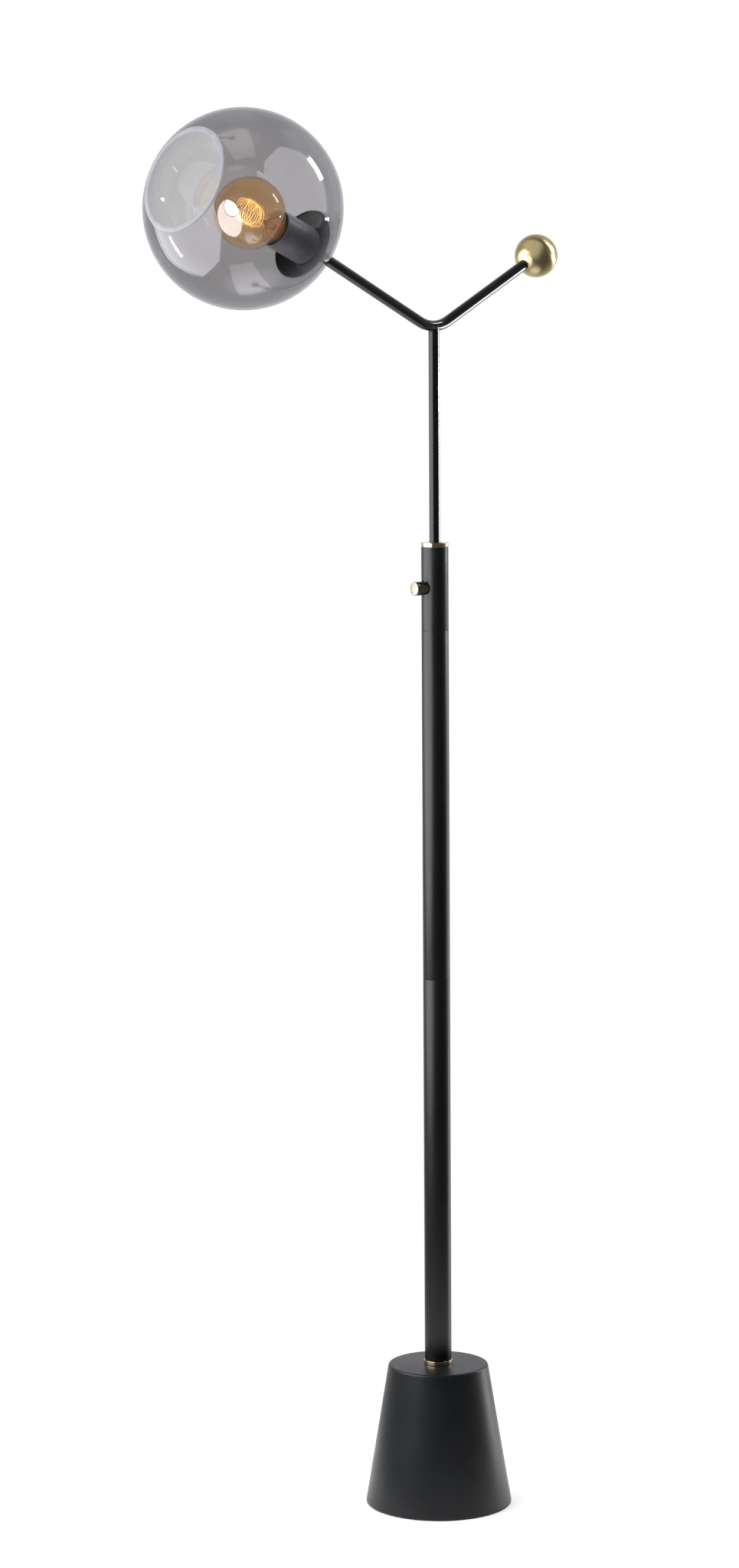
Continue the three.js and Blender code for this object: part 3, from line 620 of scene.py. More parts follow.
def thin_glass(name, tint, edge_tint, reflect, edge_reflect, shine, smear):
    """Thin glass whose tint and mirror-like film both change towards its edge. Smear is its roughness."""
    material, nodes, links, shader = new_material(name)
    set_inputs(shader, Base_Color=(*shine, 1), Metallic=1.0)
    drift = grain_of(nodes, links, even(18))
    links.new(ranged(nodes, links, drift, *smear), shader.inputs["Roughness"])
    facing = nodes.new("ShaderNodeLayerWeight")
    facing.inputs["Blend"].default_value = 0.5
    edge = nodes.new("ShaderNodeMath")
    edge.operation = "POWER"
    edge.inputs[1].default_value = EDGE_SHARPNESS
    links.new(facing.outputs["Facing"], edge.inputs[0])
    through = nodes.new("ShaderNodeBsdfTransparent")
    links.new(blended(nodes, links, edge.outputs["Value"], tint, edge_tint), through.inputs["Color"])
    share = ranged(nodes, links, edge.outputs["Value"], reflect, edge_reflect, 0, 1)
    mixed = nodes.new("ShaderNodeMixShader")
    links.new(share, mixed.inputs["Fac"])
    links.new(through.outputs["BSDF"], mixed.inputs[1])
    links.new(shader.outputs["BSDF"], mixed.inputs[2])
    links.new(mixed.outputs["Shader"], nodes["Material Output"].inputs["Surface"])
    return material


def smoke_glass():
    """The globe's outer face, which carries the smoke tint."""
    return thin_glass(
        "smoke_glass",
        tint=(0.575, 0.568, 0.578), edge_tint=(0.50, 0.495, 0.505),
        reflect=0.0, edge_reflect=0.6, shine=(0.95, 0.94, 0.98), smear=(0.015, 0.03)
    )


def mirrored_glass():
    """The globe's inner face, with a thin half-mirror film."""
    return thin_glass(
        "smoke_glass_inner",
        tint=(1, 0.995, 0.99), edge_tint=(0.8, 0.795, 0.8),
        reflect=0.15, edge_reflect=0.45, shine=(0.97, 0.965, 0.98), smear=(0.01, 0.03)
    )


def ground_glass():
    """The polished, ground edge of the globe's mouth."""
    material = finish(
        "ground_glass_edge", dark=(0.22, 0.215, 0.24), light=(0.28, 0.275, 0.30),
        roughness=(0.35, 0.5), grain=even(120), fine=even(700), bump=0.1
    )
    material.node_tree.nodes["Principled BSDF"].inputs["Alpha"].default_value = 0.9
    return material


def amber_glass():
    """The bulb's tinted glass, with a mirror-like coat and a faint painted glow that stands in for the
    filament's light in the glass.
    """
    material, nodes, links, shader = new_material("amber_glass")
    drift = grain_of(nodes, links, even(30))
    amber = toned(nodes, links, drift, (0.955, 0.80, 0.55), (0.975, 0.85, 0.62))
    links.new(amber, shader.inputs["Base Color"])
    set_inputs(shader, Roughness=0.0, IOR=GLASS_IOR, Transmission_Weight=1.0)
    set_inputs(shader, Coat_Weight=1.0, Coat_IOR=3.2, Coat_Roughness=0.01)
    # Painted light: the glass's emission is a faint glow standing in for the filament's light; the glass
    # itself is no lamp.
    set_inputs(shader, Emission_Color=(1.0, 0.56, 0.26, 1), Emission_Strength=0.07)
    return material


def stem_glass():
    material, nodes, links, shader = new_material("clear_glass")
    drift = grain_of(nodes, links, even(80))
    clear = toned(nodes, links, drift, (0.88, 0.86, 0.82), (0.96, 0.95, 0.93))
    links.new(clear, shader.inputs["Base Color"])
    links.new(ranged(nodes, links, drift, 0.0, 0.04), shader.inputs["Roughness"])
    set_inputs(shader, IOR=GLASS_IOR, Transmission_Weight=1.0)
    return material


def glowing_wire():
    """Tungsten at orange to yellow heat, uneven along its length."""
    material, nodes, links, shader = new_material("glowing_wire")
    drift = grain_of(nodes, links, even(140))
    colour = toned(nodes, links, drift, (1.0, 0.38, 0.07), (1.0, 0.62, 0.16))
    glow = toned(nodes, links, drift, (1.0, 0.50, 0.14), (1.0, 0.80, 0.36))
    links.new(colour, shader.inputs["Base Color"])
    links.new(glow, shader.inputs["Emission Color"])
    set_inputs(shader, Roughness=0.5, Emission_Strength=9.0)
    return material


# ---- Base ----


def make_base(black, felt_finish, rubber_finish, brass):
    pad_radius = base_bore(PAD_THICKNESS) - PAD_CLEARANCE
    disc = filleted([(0, 0), (pad_radius, 0, 0.6), (pad_radius, PAD_THICKNESS, 0.6), (0, PAD_THICKNESS)])
    mount(solid("floor_pad_felt", turned(disc), felt_finish), "stand", "felt", "floor_pad")

    inner_top = BASE_HEIGHT - BASE_WALL
    ring_heights = (4.0, 18.0)
    profile = filleted(
        [
            (base_bore(BASE_LIFT), BASE_LIFT, 0.3),
            (base_radius(BASE_LIFT), BASE_LIFT, 0.8),
            *[(base_radius(h), h) for h in ring_heights],
            (BASE_TOP_RADIUS, BASE_HEIGHT, 3.0),
            (TIE_HOLE, BASE_HEIGHT),
            (TIE_HOLE, inner_top),
            (base_bore(inner_top), inner_top, 2.0),
            *[(base_bore(h), h) for h in reversed(ring_heights)],
        ],
        steps=10,
    )
    shell = solid("base_cone", turned(profile, FINE_ROUND), black)
    hole = solid("grommet_hole", rod(GROMMET_HOLE_RADIUS, *GROMMET_HOLE_REACH), black, GROMMET)
    mount(bored(shell, hole), "stand", "satin_black", "base_shell")

    inner = -BASE_WALL - GROMMET_SLACK
    inner_end = inner - GROMMET_INNER_THICKNESS
    ring = filleted([
        (GROMMET_BORE, inner_end, 0.4),
        (GROMMET_INNER_RADIUS, inner_end, 0.5),
        (GROMMET_INNER_RADIUS, inner, 0.2),
        (GROMMET_NECK_RADIUS, inner),
        (GROMMET_NECK_RADIUS, GAP),
        (GROMMET_OUTER_RADIUS, GAP, 0.2),
        (GROMMET_OUTER_RADIUS, GROMMET_OUTER_HEIGHT, 0.9),
        (GROMMET_BORE, GROMMET_OUTER_HEIGHT, 0.7),
    ])
    grommet = solid("base_grommet_rubber", turned(ring, SMALL), rubber_finish, GROMMET)
    mount(grommet, "stand", "rubber", "base_grommet")

    low = BASE_HEIGHT + GAP
    brass_ring = filleted([
        (TIE_HOLE, low),
        (FOOT_RING_RADIUS, low, 0.5),
        (FOOT_RING_RADIUS, FOOT_RING_TOP, 0.5),
        (TIE_HOLE, FOOT_RING_TOP),
    ])
    mount(solid("base_ring_brass", turned(brass_ring), brass), "stand", "polished_brass", "base_ring")


# ---- Pole ----


def pole_tube(low, high, extra=()):
    """A pole section with softened ends. Extra heights are rings that keep a bored hole's edges short."""
    edge = 0.25
    return turned(
        filleted(
            [
                (POLE_BORE, low),
                (POLE_RADIUS, low, edge),
                *[(POLE_RADIUS, h) for h in extra],
                (POLE_RADIUS, high, edge),
                (POLE_BORE, high),
                *[(POLE_BORE, h) for h in reversed(extra)],
            ],
            steps=3,
        )
    )


def make_pole(black, brass):
    pole_foot = FOOT_RING_TOP + GAP
    lower = solid("pole_lower", pole_tube(pole_foot, LOWER_SEAM - GAP / 2), black)
    mount(lower, "stand", "satin_black", "lower_pole_tube")
    middle = solid("pole_middle", pole_tube(LOWER_SEAM + GAP / 2, UPPER_SEAM - GAP / 2), black)
    mount(middle, "stand", "satin_black", "middle_pole_tube")
    around = (SWITCH_HEIGHT - 14, SWITCH_HEIGHT + 14)
    housing = solid("pole_switch_housing", pole_tube(UPPER_SEAM + GAP / 2, POLE_TOP, around), black)
    hole = solid("knob_hole", rod(KNOB_RADIUS + KNOB_CLEARANCE, *KNOB_HOLE_REACH), black, SWITCH)
    mount(bored(housing, hole), "stand", "satin_black", "switch_housing")

    flange = POLE_TOP + GAP
    top = flange + COLLAR_HEIGHT
    lip = TUBE_RADIUS + COLLAR_LIP_CLEARANCE
    collar = filleted([
        (COLLAR_BORE, SPIGOT_LOW),
        (POLE_LINER, SPIGOT_LOW, 0.3),
        (POLE_LINER, flange),
        (COLLAR_RADIUS, flange, 0.3),
        (COLLAR_RADIUS, top, 0.6),
        (lip, top, 0.4),
        (lip, top - COLLAR_LIP),
        (COLLAR_BORE, top - COLLAR_LIP),
    ])
    mount(solid("top_collar_brass", turned(collar), brass), "stand", "polished_brass", "top_collar")


# ---- Knob ----


def make_knob(metal, paint):
    skirt = KNOB_BACK + KNOB_SKIRT_DEPTH
    body = filleted([
        (KNOB_SKIRT_BORE, KNOB_BACK),
        (KNOB_RADIUS, KNOB_BACK, 0.2),
        (KNOB_RADIUS, KNOB_FACE, 0.6),
        (0, KNOB_FACE),
        (0, SHAFT_HOLE_END),
        (SHAFT_HOLE_RADIUS, SHAFT_HOLE_END),
        (SHAFT_HOLE_RADIUS, skirt),
        (KNOB_SKIRT_BORE, skirt),
    ])
    knob = solid("knob_turned", turned(body, 96), metal, SWITCH)
    dot_place = SWITCH @ at(DOT_PLACE)
    low = KNOB_FACE - DOT_DEPTH
    high = KNOB_FACE - DOT_PAINT_DOWN
    recess = solid("dot_recess", rod(DOT_RADIUS, low, KNOB_FACE + 1, 32), metal, dot_place)
    mount(bored(knob, recess), "knob", "champagne_metal", "knob")
    dot = filleted([(0, low), (DOT_PAINT_RADIUS, low), (DOT_PAINT_RADIUS, high, 0.1), (0, high)])
    mount(solid("knob_index_dot", turned(dot, 32), paint, dot_place), "knob", "satin_black")


# ---- Riser and V arm ----


def bend_of(start, corner, end, radius):
    """The points of a path with one round bend, and the bend's centre."""
    inward = (corner - start).normalized()
    outward = (end - corner).normalized()
    sweep = inward.angle(outward)
    bend_start = corner - inward * radius * math.tan(sweep / 2)
    axis = inward.cross(outward).normalized()
    centre = bend_start + axis.cross(inward) * radius
    bend = [
        centre + Matrix.Rotation(sweep * i / BEND_STEPS, 3, axis) @ (bend_start - centre)
        for i in range(BEND_STEPS + 1)
    ]
    runs = STRAIGHT_STEPS
    first = [start.lerp(bend[0], i / runs) for i in range(runs)]
    last = [bend[-1].lerp(end, (i + 1) / runs) for i in range(runs)]
    return first + bend + last, centre


def tube_along(points, radius, bore, edge=0.3, segments=48):
    """A round tube along points in the XZ plane, with softened ends."""
    side = Vector((0, 1, 0))
    stations = []
    last = len(points) - 1
    for i, point in enumerate(points):
        tangent = (points[min(i + 1, last)] - points[max(i - 1, 0)]).normalized()
        stations.append((point, tangent))
    start, inward = stations[0]
    end, outward = stations[-1]
    loops = [(start, inward, bore), (start, inward, radius - edge), (start + inward * edge, inward, radius)]
    loops += [(p, t, radius) for p, t in stations[1:-1]]
    loops += [(end - outward * edge, outward, radius), (end, outward, radius - edge), (end, outward, bore)]
    loops += [(p, t, bore) for p, t in reversed(stations[1:-1])]
    vertices = []
    for point, tangent, size in loops:
        normal = tangent.cross(side).normalized()
        for i in range(segments):
            angle = 2 * math.pi * i / segments
            vertices.append(point + (normal * math.cos(angle) + side * math.sin(angle)) * size)
    return vertices, bands(len(loops), segments)


def saddle_height(x, y, centre, reach):
    """Height of the underside of the arm's bend over a point, for a tube of that radius."""
    out = BEND_RADIUS + math.sqrt(reach**2 - y**2)
    return centre.z - math.sqrt(out**2 - (x - centre.x) ** 2)


def make_arm(black):
    points, centre = bend_of(GLOBE_LEG_END, VERTEX, BALL_LEG_END, BEND_RADIUS)
    tube = solid("v_arm_tube", tube_along(points, TUBE_RADIUS, TUBE_BORE), black)
    mount(tube, "arm", "gloss_black", "v_arm")

    # The riser's top follows the underside of the bend, and stands a little inside its wall.
    segments = RISER_SEGMENTS
    inside = TUBE_RADIUS - RISER_SINK
    vertices = []
    edges = ((TUBE_BORE, "foot"), (TUBE_RADIUS, "foot"), (TUBE_RADIUS, "top"), (TUBE_BORE, "top"))
    for radius, level in edges:
        for i in range(segments):
            angle = 2 * math.pi * i / segments
            x, y = radius * math.cos(angle), radius * math.sin(angle)
            reach_y = max(-inside + 0.01, min(inside - 0.01, y))
            top = saddle_height(x, reach_y, centre, inside)
            vertices.append((x, y, RISER_FOOT if level == "foot" else top))
    riser = solid("riser_upright", (vertices, bands(len(edges), segments)), black, sharp=40)
    mount(riser, "arm", "gloss_black", "riser_tube")

    # The weld between riser and arm, dressed to a small fillet under the paint.
    bead = []
    for i in range(segments):
        angle = 2 * math.pi * i / segments
        x, y = TUBE_RADIUS * math.cos(angle), TUBE_RADIUS * math.sin(angle)
        reach_y = max(-TUBE_RADIUS + 0.02, min(TUBE_RADIUS - 0.02, y))
        bead.append(Vector((x, y, saddle_height(x, reach_y, centre, TUBE_RADIUS))))
    weld = solid("arm_weld_bead", swept(stations_along(bead, True), WELD_RADIUS, 12, True), black, sharp=60)
    mount(weld, "arm", "gloss_black")


# ---- Counterweight ----


def make_ball(brass):
    flat_angle = math.degrees(math.asin(BALL_FLAT / BALL_RADIUS))
    hole = STUD_HOLE_RADIUS
    hole_end = BALL_FLAT - STUD_HOLE_DEPTH
    profile = arc(0, BALL_RADIUS, -90, flat_angle - 0.8, 64)
    edge = math.radians(flat_angle)
    profile.append(Vector((BALL_RADIUS * math.cos(edge) - 0.25, BALL_FLAT)))
    profile += [Vector((hole, BALL_FLAT)), Vector((hole, hole_end)), Vector((0, hole_end))]
    profile[0].x = 0
    ball = unwrap_around(solid("counterweight_turned", turned(profile), brass, BALL), BALL)
    mount(ball, "arm", "brushed_brass", "counterweight_ball")


# ---- Glass globe ----


def make_globe(glass, film, ground):
    bore = GLOBE_RADIUS - GLOBE_WALL
    lip = MOUTH_LIP
    outer_edge = -math.degrees(math.asin((MOUTH_DISTANCE - lip) / GLOBE_RADIUS))
    inner_edge = -math.degrees(math.asin((MOUTH_DISTANCE - lip) / bore))
    outer = arc(0, GLOBE_RADIUS, outer_edge, 90, 96)
    inner = arc(0, bore, 90, inner_edge, 96)
    outer[-1].x = 0
    inner[0].x = 0
    outer_rim = math.sqrt(GLOBE_RADIUS**2 - MOUTH_DISTANCE**2)
    inner_rim = math.sqrt(bore**2 - MOUTH_DISTANCE**2)
    rim = [
        Vector((inner_rim + 0.1, -MOUTH_DISTANCE + 0.15)),
        Vector((inner_rim + lip, -MOUTH_DISTANCE)),
        Vector((outer_rim - lip, -MOUTH_DISTANCE)),
        Vector((outer_rim - 0.1, -MOUTH_DISTANCE + 0.15)),
    ]
    globe = solid("globe_shade", turned(rim + outer + inner, FINE_ROUND), glass, MOUTH, sharp=60)
    globe.data.materials.append(film)
    globe.data.materials.append(ground)
    back = MOUTH.inverted()
    middle = (bore + GLOBE_RADIUS) / 2 * MM
    # Faces take the smoke glass outside, the film inside and the ground finish round the mouth.
    for face in globe.data.polygons:
        place = back @ face.center
        if place.z < (-MOUTH_DISTANCE + lip * 0.98) * MM:
            face.material_index = 2
        elif place.length < middle:
            face.material_index = 1
    drill = rod(NIPPLE_HOLE, bore - NIPPLE_DRILL_REACH, GLOBE_RADIUS + NIPPLE_DRILL_REACH, 48)
    hole = solid("nipple_hole", drill, glass, HEAD)
    mount(bored(globe, hole, 60), "arm", "smoke_glass", "glass_shade")


# ---- Holder, washer and socket cup ----


def make_holder(black, silver, grey):
    front = HOLDER_BACK_RADIUS - HOLDER_THICKNESS

    def polar(radius, sphere):
        return math.degrees(math.acos(radius / sphere))

    rim = HOLDER_RIM_RADIUS
    bead = HOLDER_BEAD
    bead_height = math.sqrt((front + 0.1) ** 2 - (rim - bead) ** 2) - 0.4
    dish = arc(0, front, polar(NIPPLE_HOLE, front), polar(rim - 2 * bead, front), 40)
    for step in range(13):
        angle = math.radians(-170 + 250 * step / 12)
        dish.append(Vector((rim - bead + bead * math.cos(angle), bead_height + bead * math.sin(angle))))
    outside = HOLDER_BACK_RADIUS
    dish += arc(0, outside, polar(rim - bead * 0.9, outside), polar(NIPPLE_HOLE, outside), 40)
    mount(solid("holder_dish", turned(dish), black, HEAD), "arm", "gloss_black", "shade_holder")

    low = GLOBE_RADIUS + GAP
    high = low + WASHER_THICKNESS
    washer = filleted(
        [(NIPPLE_HOLE, low), (WASHER_RADIUS, low, 0.3), (WASHER_RADIUS, high, 0.4), (NIPPLE_HOLE, high)]
    )
    mount(solid("seat_washer_nickel", turned(washer, SMALL), silver, HEAD), "arm", "nickel", "seat_washer")

    inside = CUP_RADIUS - CUP_WALL
    floor = CUP_BACK - CUP_FLOOR
    cup = filleted([
        (inside, CUP_MOUTH, 0.3),
        (CUP_RADIUS, CUP_MOUTH, 0.6),
        (CUP_RADIUS, CUP_BACK, 1.6),
        (NIPPLE_HOLE, CUP_BACK),
        (NIPPLE_HOLE, floor),
        (inside, floor, 0.8),
    ])
    mount(solid("socket_cup_shell", turned(cup), grey, HEAD), "arm", "dark_grey_metal", "socket_cup")


# ---- Bulb ----


def make_bulb(amber, clear, copper, wire, silver):
    neck_angle = math.degrees(math.acos((BULB_NECK_RADIUS + 3) / BULB_RADIUS))
    inside = BULB_RADIUS - BULB_GLASS
    inside_neck = BULB_NECK_RADIUS - BULB_GLASS
    inside_angle = math.degrees(math.acos((inside_neck + 3) / inside))
    seal_low = CAP_LOW - SEAL_START
    seal_end = CAP_LOW + SEAL_DEPTH
    seal_bore = BULB_SEAL_RADIUS - BULB_GLASS

    def shoulder(sphere, neck, start):
        """The waist where the bulb's globe runs into its neck, as a cubic curve."""
        first = arc(BULB_CENTRE, sphere, start, start, 1)[0]
        tangent = Vector((-math.sin(math.radians(start)), math.cos(math.radians(start))))
        last = Vector((neck, CUP_MOUTH + 1))
        reach = (last - first).length
        points = []
        for i in range(1, 13):
            t = i / 12
            p1 = first + tangent * reach * 0.4
            p2 = last - Vector((0, 1)) * reach * 0.45
            a, b, c, d = (1 - t) ** 3, 3 * t * (1 - t) ** 2, 3 * t * t * (1 - t), t**3
            points.append(first * a + p1 * b + p2 * c + last * d)
        return points

    outer = arc(BULB_CENTRE, BULB_RADIUS, -90, neck_angle, 64)
    outer[0].x = 0
    inner = arc(BULB_CENTRE, inside, -90, inside_angle, 64)
    inner[0].x = 0
    profile = outer + shoulder(BULB_RADIUS, BULB_NECK_RADIUS, neck_angle)
    profile += [Vector((BULB_SEAL_RADIUS, seal_low)), Vector((BULB_SEAL_RADIUS, seal_end))]
    profile += [Vector((seal_bore, seal_end)), Vector((seal_bore, seal_low))]
    profile += list(reversed(shoulder(inside, inside_neck, inside_angle)))
    profile += list(reversed(inner))
    envelope = solid("bulb_envelope", turned(profile, 112), amber, HEAD, sharp=70)
    mount(envelope, "arm", "amber_glass", "bulb_glass")

    tip = FILAMENT_LOW - 2
    stem = filleted([
        (0, tip),
        (STEM_RADIUS, tip, 1.0),
        (STEM_RADIUS, 32, 8),
        (3.4, 42, 8),
        (STEM_FOOT_RADIUS, 58, 2),
        (STEM_FOOT_RADIUS, STEM_END),
        (0, STEM_END),
    ])
    stem_piece = solid("bulb_stem_glass", turned(stem, 48), clear, HEAD, sharp=60)
    mount(stem_piece, "arm", "clear_glass", "bulb_stem")

    # A reflector disc closes the neck round the stem.
    hole, rim = REFLECTOR_HOLE, REFLECTOR_RADIUS
    disc = filleted([(hole, 50.6), (rim, 51.2, 0.4), (rim, 52.0, 0.3), (hole, 51.6)])
    mount(solid("bulb_neck_reflector", turned(disc, SMALL), copper, HEAD), "arm", "nickel")
    make_filament(wire, silver)


def curved(first, control, last, steps):
    """Points of the quadratic curve from first to last."""
    points = []
    for step in range(steps + 1):
        t = step / steps
        points.append(first * (1 - t) ** 2 + control * 2 * t * (1 - t) + last * t * t)
    return points


def add_wire(supports, points, radius, segments):
    """Adds a wire along the points to the (vertices, faces) pair."""
    vertices, faces = swept(stations_along(points), radius, segments)
    offset = len(supports[0])
    supports[0].extend(vertices)
    supports[1].extend([v + offset for v in face] for face in faces)


def make_filament(wire, silver):
    """One long wire in uneven loops round the stem, on hooks, with two lead-in wires."""
    chance = random.Random(7)
    turns = FILAMENT_TURNS
    per_turn = 40
    sway = [(chance.uniform(0.5, 1.0), chance.uniform(0, 6.28)) for _ in range(4)]
    points = []
    for i in range(turns * per_turn + 1):
        share = i / (turns * per_turn)
        angle = 2 * math.pi * turns * share
        waves = (a * math.sin(angle * (0.37 + 0.21 * k) + p) for k, (a, p) in enumerate(sway))
        drift = sum(waves) / len(sway)
        swell = 0.86 + 0.14 * math.sin(math.pi * share)
        radius = (FILAMENT_RADIUS - FILAMENT_DRIFT) * swell + FILAMENT_DRIFT * drift
        height = FILAMENT_LOW + 1 + (FILAMENT_HIGH - FILAMENT_LOW - 2) * share
        height += FILAMENT_TILT * math.sin(angle + 1.2) + 0.8 * drift
        height = min(max(height, FILAMENT_LOW - 1), FILAMENT_HIGH + 1)
        points.append(Vector((radius * math.cos(angle), radius * math.sin(angle), height)))
    coil = solid("filament_coil", swept(stations_along(points), FILAMENT_WIRE, 6), wire, HEAD, sharp=80)
    mount(coil, "arm", "glowing_wire", "filament")

    supports = ([], [])
    for level, height in enumerate((FILAMENT_LOW - 1, FILAMENT_HIGH + 1)):
        for i in range(HOOKS):
            angle = 2 * math.pi * (i + 0.5 * level) / HOOKS
            out = Vector((math.cos(angle), math.sin(angle), 0))
            root = out * 1.3 + Vector((0, 0, 9 + 3 * level))
            knee = out * 7 + Vector((0, 0, height * 0.75 + 2.5))
            tip = out * (FILAMENT_RADIUS - 0.6) + Vector((0, 0, height))
            add_wire(supports, curved(root, knee, tip, 8), HOOK_WIRE, 6)
    for side in (-1, 1):
        foot = Vector((3.0 * side, 0, 60))
        middle = Vector((3.4 * side, 1.5, 34))
        top = points[0] if side < 0 else points[-1]
        add_wire(supports, curved(foot, middle, top, 14), LEAD_IN_WIRE, 8)
    mount(solid("filament_supports", supports, silver, HEAD, sharp=60), "arm", "nickel")


# ---- CAD nodes that stay ----


def repaint(finishes):
    """Gives every CAD node that is still shown its procedural finish."""
    slots = {
        "steel": "tie_tube base_nut base_washer base_coupling lower_coupler upper_coupler switch_sleeve "
        "dimmer_shaft riser_stop ball_stud arm_plug arm_nipple socket_nut",
        "cast_iron": "base_weight",
        "phenolic": "dimmer_body socket_body",
        "nickel": "dimmer_nut bulb_cap",
        "nylon": "thrust_seat swivel_bushing",
        "polished_brass": "screw_shell centre_contact",
        "rubber": "lead_lower lead_upper socket_lead",
    }
    for name, nodes in slots.items():
        for node in nodes.split():
            mesh_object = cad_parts[node]
            mesh_object.data.materials.clear()
            mesh_object.data.materials.append(finishes[name])


# ---- Studio ----

FLOOR_RINGS = (0.001, 0.15, 0.3, 0.45, 0.6, 0.8)  # radii in metres, as are the lights' sizes below
FLOOR_FADE = (0.3, 0.8 * 0.95)
FLOOR_COLOUR = (0.93, 0.93, 0.93)
BACKDROP_STRENGTH = 1.02
ROOM_STRENGTH = (0.07, 0.95)  # on the viewer's side of the room and behind the lamp
ROOM_STEEPNESS = 3.6
ROOM_COLOUR = (0.97, 0.98, 1.0)
SOFTBOX = (-0.93, -0.30, 0.22)
TOP_SIZE = 2.2
TOP_POWER = 110
TOP_PLACE = (0.2, 0.2, 3.2)


def emitter(name, colour, strength):
    material = bpy.data.materials.new(name)
    material.use_nodes = True
    nodes, links = material.node_tree.nodes, material.node_tree.links
    nodes.clear()
    glow = nodes.new("ShaderNodeEmission")
    set_inputs(glow, Color=(*colour, 1), Strength=strength)
    output = nodes.new("ShaderNodeOutputMaterial")
    links.new(glow.outputs["Emission"], output.inputs["Surface"])
    return material


def way_of(direction):
    """The world direction of a (right, up, towards the photo's viewpoint) direction."""
    return sum((axis * part for axis, part in zip(camera_axes(), direction)), Vector()).normalized()


def receivers_of(name, pieces, state=None):
    """A collection that ties a light to the pieces, or with the state EXCLUDE keeps it off them."""
    receivers = bpy.data.collections.new(name + "_receivers")
    for piece in pieces:
        receivers.objects.link(bpy.data.objects[piece])
    if state:
        for entry in receivers.collection_objects:
            entry.light_linking.link_state = state
    return receivers


def card(name, direction, distance, size, strength, corners=4, colour=(1, 1, 1), spared=()):
    """A glowing card, unseen by any camera, that faces the globe. The spared pieces don't catch it."""
    way = way_of(direction)
    place = GLOBE_CENTRE * MM + way * distance
    width, height = size
    if corners == 4:
        x, y = width / 2, height / 2
        outline = [(-x, -y, 0), (x, -y, 0), (x, y, 0), (-x, y, 0)]
    else:
        outline = []
        for i in range(corners):
            angle = 2 * math.pi * (i + 0.5) / corners
            outline.append((width / 2 * math.cos(angle), height / 2 * math.sin(angle), 0))
    mesh = bpy.data.meshes.new(name)
    mesh.from_pydata(outline, [], [list(range(len(outline)))])
    mesh.materials.append(emitter(name + "_light", colour, strength))
    panel = bpy.data.objects.new(name, mesh)
    bpy.context.scene.collection.objects.link(panel)
    facing = (-way).to_track_quat("Z", "Y").to_matrix().to_4x4()
    panel.matrix_world = Matrix.Translation(place) @ facing
    panel.visible_camera = False
    panel.visible_transmission = False
    panel.visible_shadow = False
    if spared:
        panel.light_linking.receiver_collection = receivers_of(name, spared, "EXCLUDE")


def lamp_for(pieces, name, direction, distance, size, radiance, target=None, shape="RECTANGLE"):
    """A soft light that only the named pieces catch. It faces the target, or else the globe."""
    target = target or GLOBE_CENTRE * MM
    way = way_of(direction)
    data = bpy.data.lights.new(name, "AREA")
    data.shape = shape
    data.size, data.size_y = size
    data.energy = 4 * size[0] * size[1] * radiance
    light = bpy.data.objects.new(name, data)
    facing = way.to_track_quat("Z", "Y").to_matrix().to_4x4()
    light.matrix_world = Matrix.Translation(target + way * distance) @ facing
    light.visible_camera = False
    light.visible_transmission = False
    bpy.context.scene.collection.objects.link(light)
    light.light_linking.receiver_collection = receivers_of(name, pieces)


def make_floor():
    """A pale sweep under the lamp that fades into the background."""
    sides = 96
    vertices = []
    for r in FLOOR_RINGS:
        for i in range(sides):
            angle = 2 * math.pi * i / sides
            vertices.append((r * math.cos(angle), r * math.sin(angle), 0))
    faces = [face[::-1] for face in bands(len(FLOOR_RINGS), sides, closed=False)]
    mesh = bpy.data.meshes.new("floor")
    mesh.from_pydata(vertices, [], faces)
    floor = bpy.data.objects.new("floor", mesh)
    bpy.context.scene.collection.objects.link(floor)
    material, nodes, links, shader = new_material("pale_floor")
    set_inputs(shader, Base_Color=(*FLOOR_COLOUR, 1), Roughness=0.7)
    place = nodes.new("ShaderNodeTexCoord")
    length = nodes.new("ShaderNodeVectorMath")
    length.operation = "LENGTH"
    links.new(place.outputs["Object"], length.inputs[0])
    fade = ranged(nodes, links, length.outputs["Value"], 1, 0, *FLOOR_FADE)
    links.new(fade, shader.inputs["Alpha"])
    mesh.materials.append(material)


def make_world():
    """White behind the lamp, and a dim grey room in its reflections."""
    world = bpy.data.worlds.new("studio")
    bpy.context.scene.world = world
    world.use_nodes = True
    nodes, links = world.node_tree.nodes, world.node_tree.links
    nodes.clear()
    path = nodes.new("ShaderNodeLightPath")
    seen = nodes.new("ShaderNodeMath")
    seen.operation = "MAXIMUM"
    links.new(path.outputs["Is Camera Ray"], seen.inputs[0])
    links.new(path.outputs["Is Transmission Ray"], seen.inputs[1])
    room = nodes.new("ShaderNodeBackground")
    way = nodes.new("ShaderNodeTexCoord")
    behind = nodes.new("ShaderNodeVectorMath")
    behind.operation = "DOT_PRODUCT"
    behind.inputs[1].default_value = -camera_axes()[2]
    links.new(way.outputs["Generated"], behind.inputs[0])
    share = ranged(nodes, links, behind.outputs["Value"], 0, 1, -1, 1)
    steep = nodes.new("ShaderNodeMath")
    steep.operation = "POWER"
    steep.inputs[1].default_value = ROOM_STEEPNESS
    links.new(share, steep.inputs[0])
    strength = ranged(nodes, links, steep.outputs["Value"], *ROOM_STRENGTH, 0, 1)
    links.new(strength, room.inputs["Strength"])
    room.inputs["Color"].default_value = (*ROOM_COLOUR, 1)
    white = nodes.new("ShaderNodeBackground")
    set_inputs(white, Color=(1, 1, 1, 1), Strength=BACKDROP_STRENGTH)
    mixed = nodes.new("ShaderNodeMixShader")
    links.new(seen.outputs["Value"], mixed.inputs["Fac"])
    links.new(room.outputs["Background"], mixed.inputs[1])
    links.new(white.outputs["Background"], mixed.inputs[2])
    output = nodes.new("ShaderNodeOutputWorld")
    links.new(mixed.outputs["Shader"], output.inputs["Surface"])


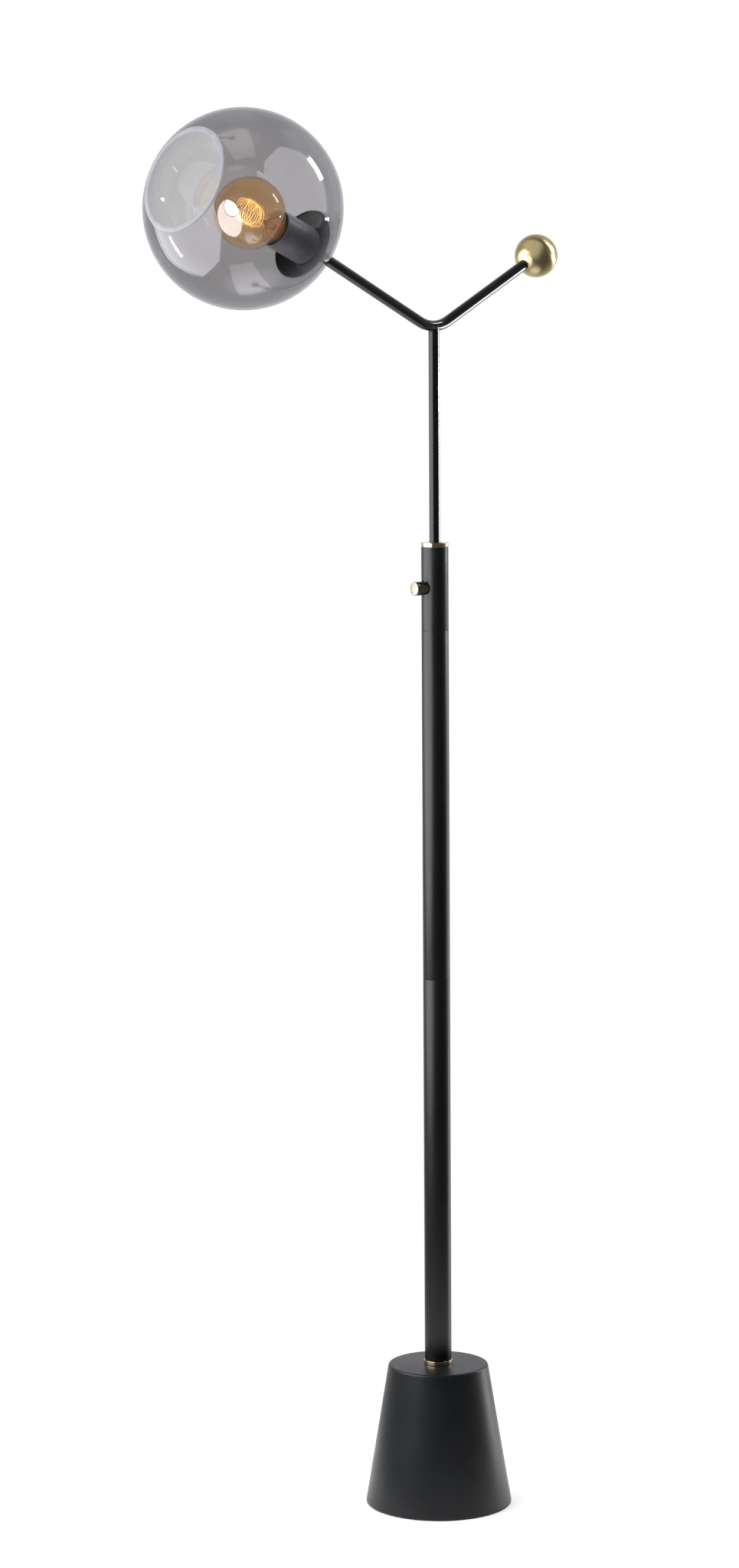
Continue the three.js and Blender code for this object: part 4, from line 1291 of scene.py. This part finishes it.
def make_lights():
    """Lights by name, direction, distance, size, strength and, where it isn't the globe, target."""
    arm = ["v_arm_tube", "riser_upright", "arm_weld_bead"]
    card("softbox_left", SOFTBOX, 0.9, (2.0, 2.0), 4.2, corners=8, colour=(0.98, 0.99, 1.0), spared=arm)
    lamp_for(arm, "arm_soft", SOFTBOX, 0.86, (1.9, 1.9), 1.5, shape="DISK")
    card("strip_right", (0.816, 0.504, -0.28), 1.5, (0.14, 0.45), 14.0)
    card("spark_right", (0.906, -0.046, -0.421), 2.2, (0.07, 0.07), 500.0, corners=8)

    head = ["globe_shade", "bulb_envelope", "bulb_stem_glass", "bulb_neck_reflector"]
    lamp_for(head, "floor_glow", (0.06, -1, -0.10), 1.45, (1.25, 0.62), 1.3)
    lamp_for(["bulb_envelope"], "bulb_glow", SOFTBOX, 0.88, (1.9, 1.9), 2.7, shape="DISK")

    riser_middle = Vector((0, 0, 1.3))
    lamp_for(arm, "arm_strip", (0.89, -0.17, -0.42), 2.0, (0.8, 1.4), 8.0, riser_middle)
    stand = ["top_collar_brass", "pole_switch_housing", "pole_middle", "pole_lower"]
    stand += ["base_ring_brass", "base_cone"]
    stand_middle = Vector((0, 0, 0.8))
    lamp_for(stand, "stand_strip", (0.85, -0.10, -0.52), 2.0, (0.7, 2.4), 2.1, stand_middle)

    ball = ["counterweight_turned"]
    ball_centre = BALL_CENTRE * MM
    lamp_for(ball, "ball_fill", (-0.45, 0.55, 0.72), 1.0, (2.4, 2.4), 0.46, ball_centre)
    lamp_for(ball, "ball_strip_high", (0.90, 0.38, -0.22), 1.6, (0.55, 0.16), 12.0, ball_centre)
    lamp_for(ball, "ball_strip_low", (0.95, -0.12, -0.30), 1.6, (0.6, 0.20), 15.0, ball_centre)

    top = bpy.data.lights.new("top_light", "AREA")
    top.shape = "DISK"
    top.size = TOP_SIZE
    top.energy = TOP_POWER
    overhead = bpy.data.objects.new("top_light", top)
    overhead.location = TOP_PLACE
    overhead.visible_camera = False
    overhead.visible_glossy = False
    overhead.visible_transmission = False
    bpy.context.scene.collection.objects.link(overhead)


# ---- The lamp ----

bpy.context.scene.view_settings.view_transform = "Standard"
make_camera()
BLACK = satin_black()
GLOSS = gloss_black()
BRASS = polished_brass()
SILVER = nickel()
make_base(BLACK, felt(), rubber(), BRASS)
make_pole(BLACK, BRASS)
make_knob(champagne_metal(), index_paint())
make_arm(GLOSS)
make_ball(brushed_brass())
make_globe(smoke_glass(), mirrored_glass(), ground_glass())
make_holder(holder_black(), SILVER, dark_grey_metal())
make_bulb(amber_glass(), stem_glass(), copper_foil(), glowing_wire(), SILVER)
repaint(
    {
        "steel": steel(),
        "cast_iron": cast_iron(),
        "phenolic": phenolic(),
        "nickel": SILVER,
        "nylon": nylon(),
        "polished_brass": BRASS,
        "rubber": rubber(),
    }
)
make_floor()
make_world()
make_lights()
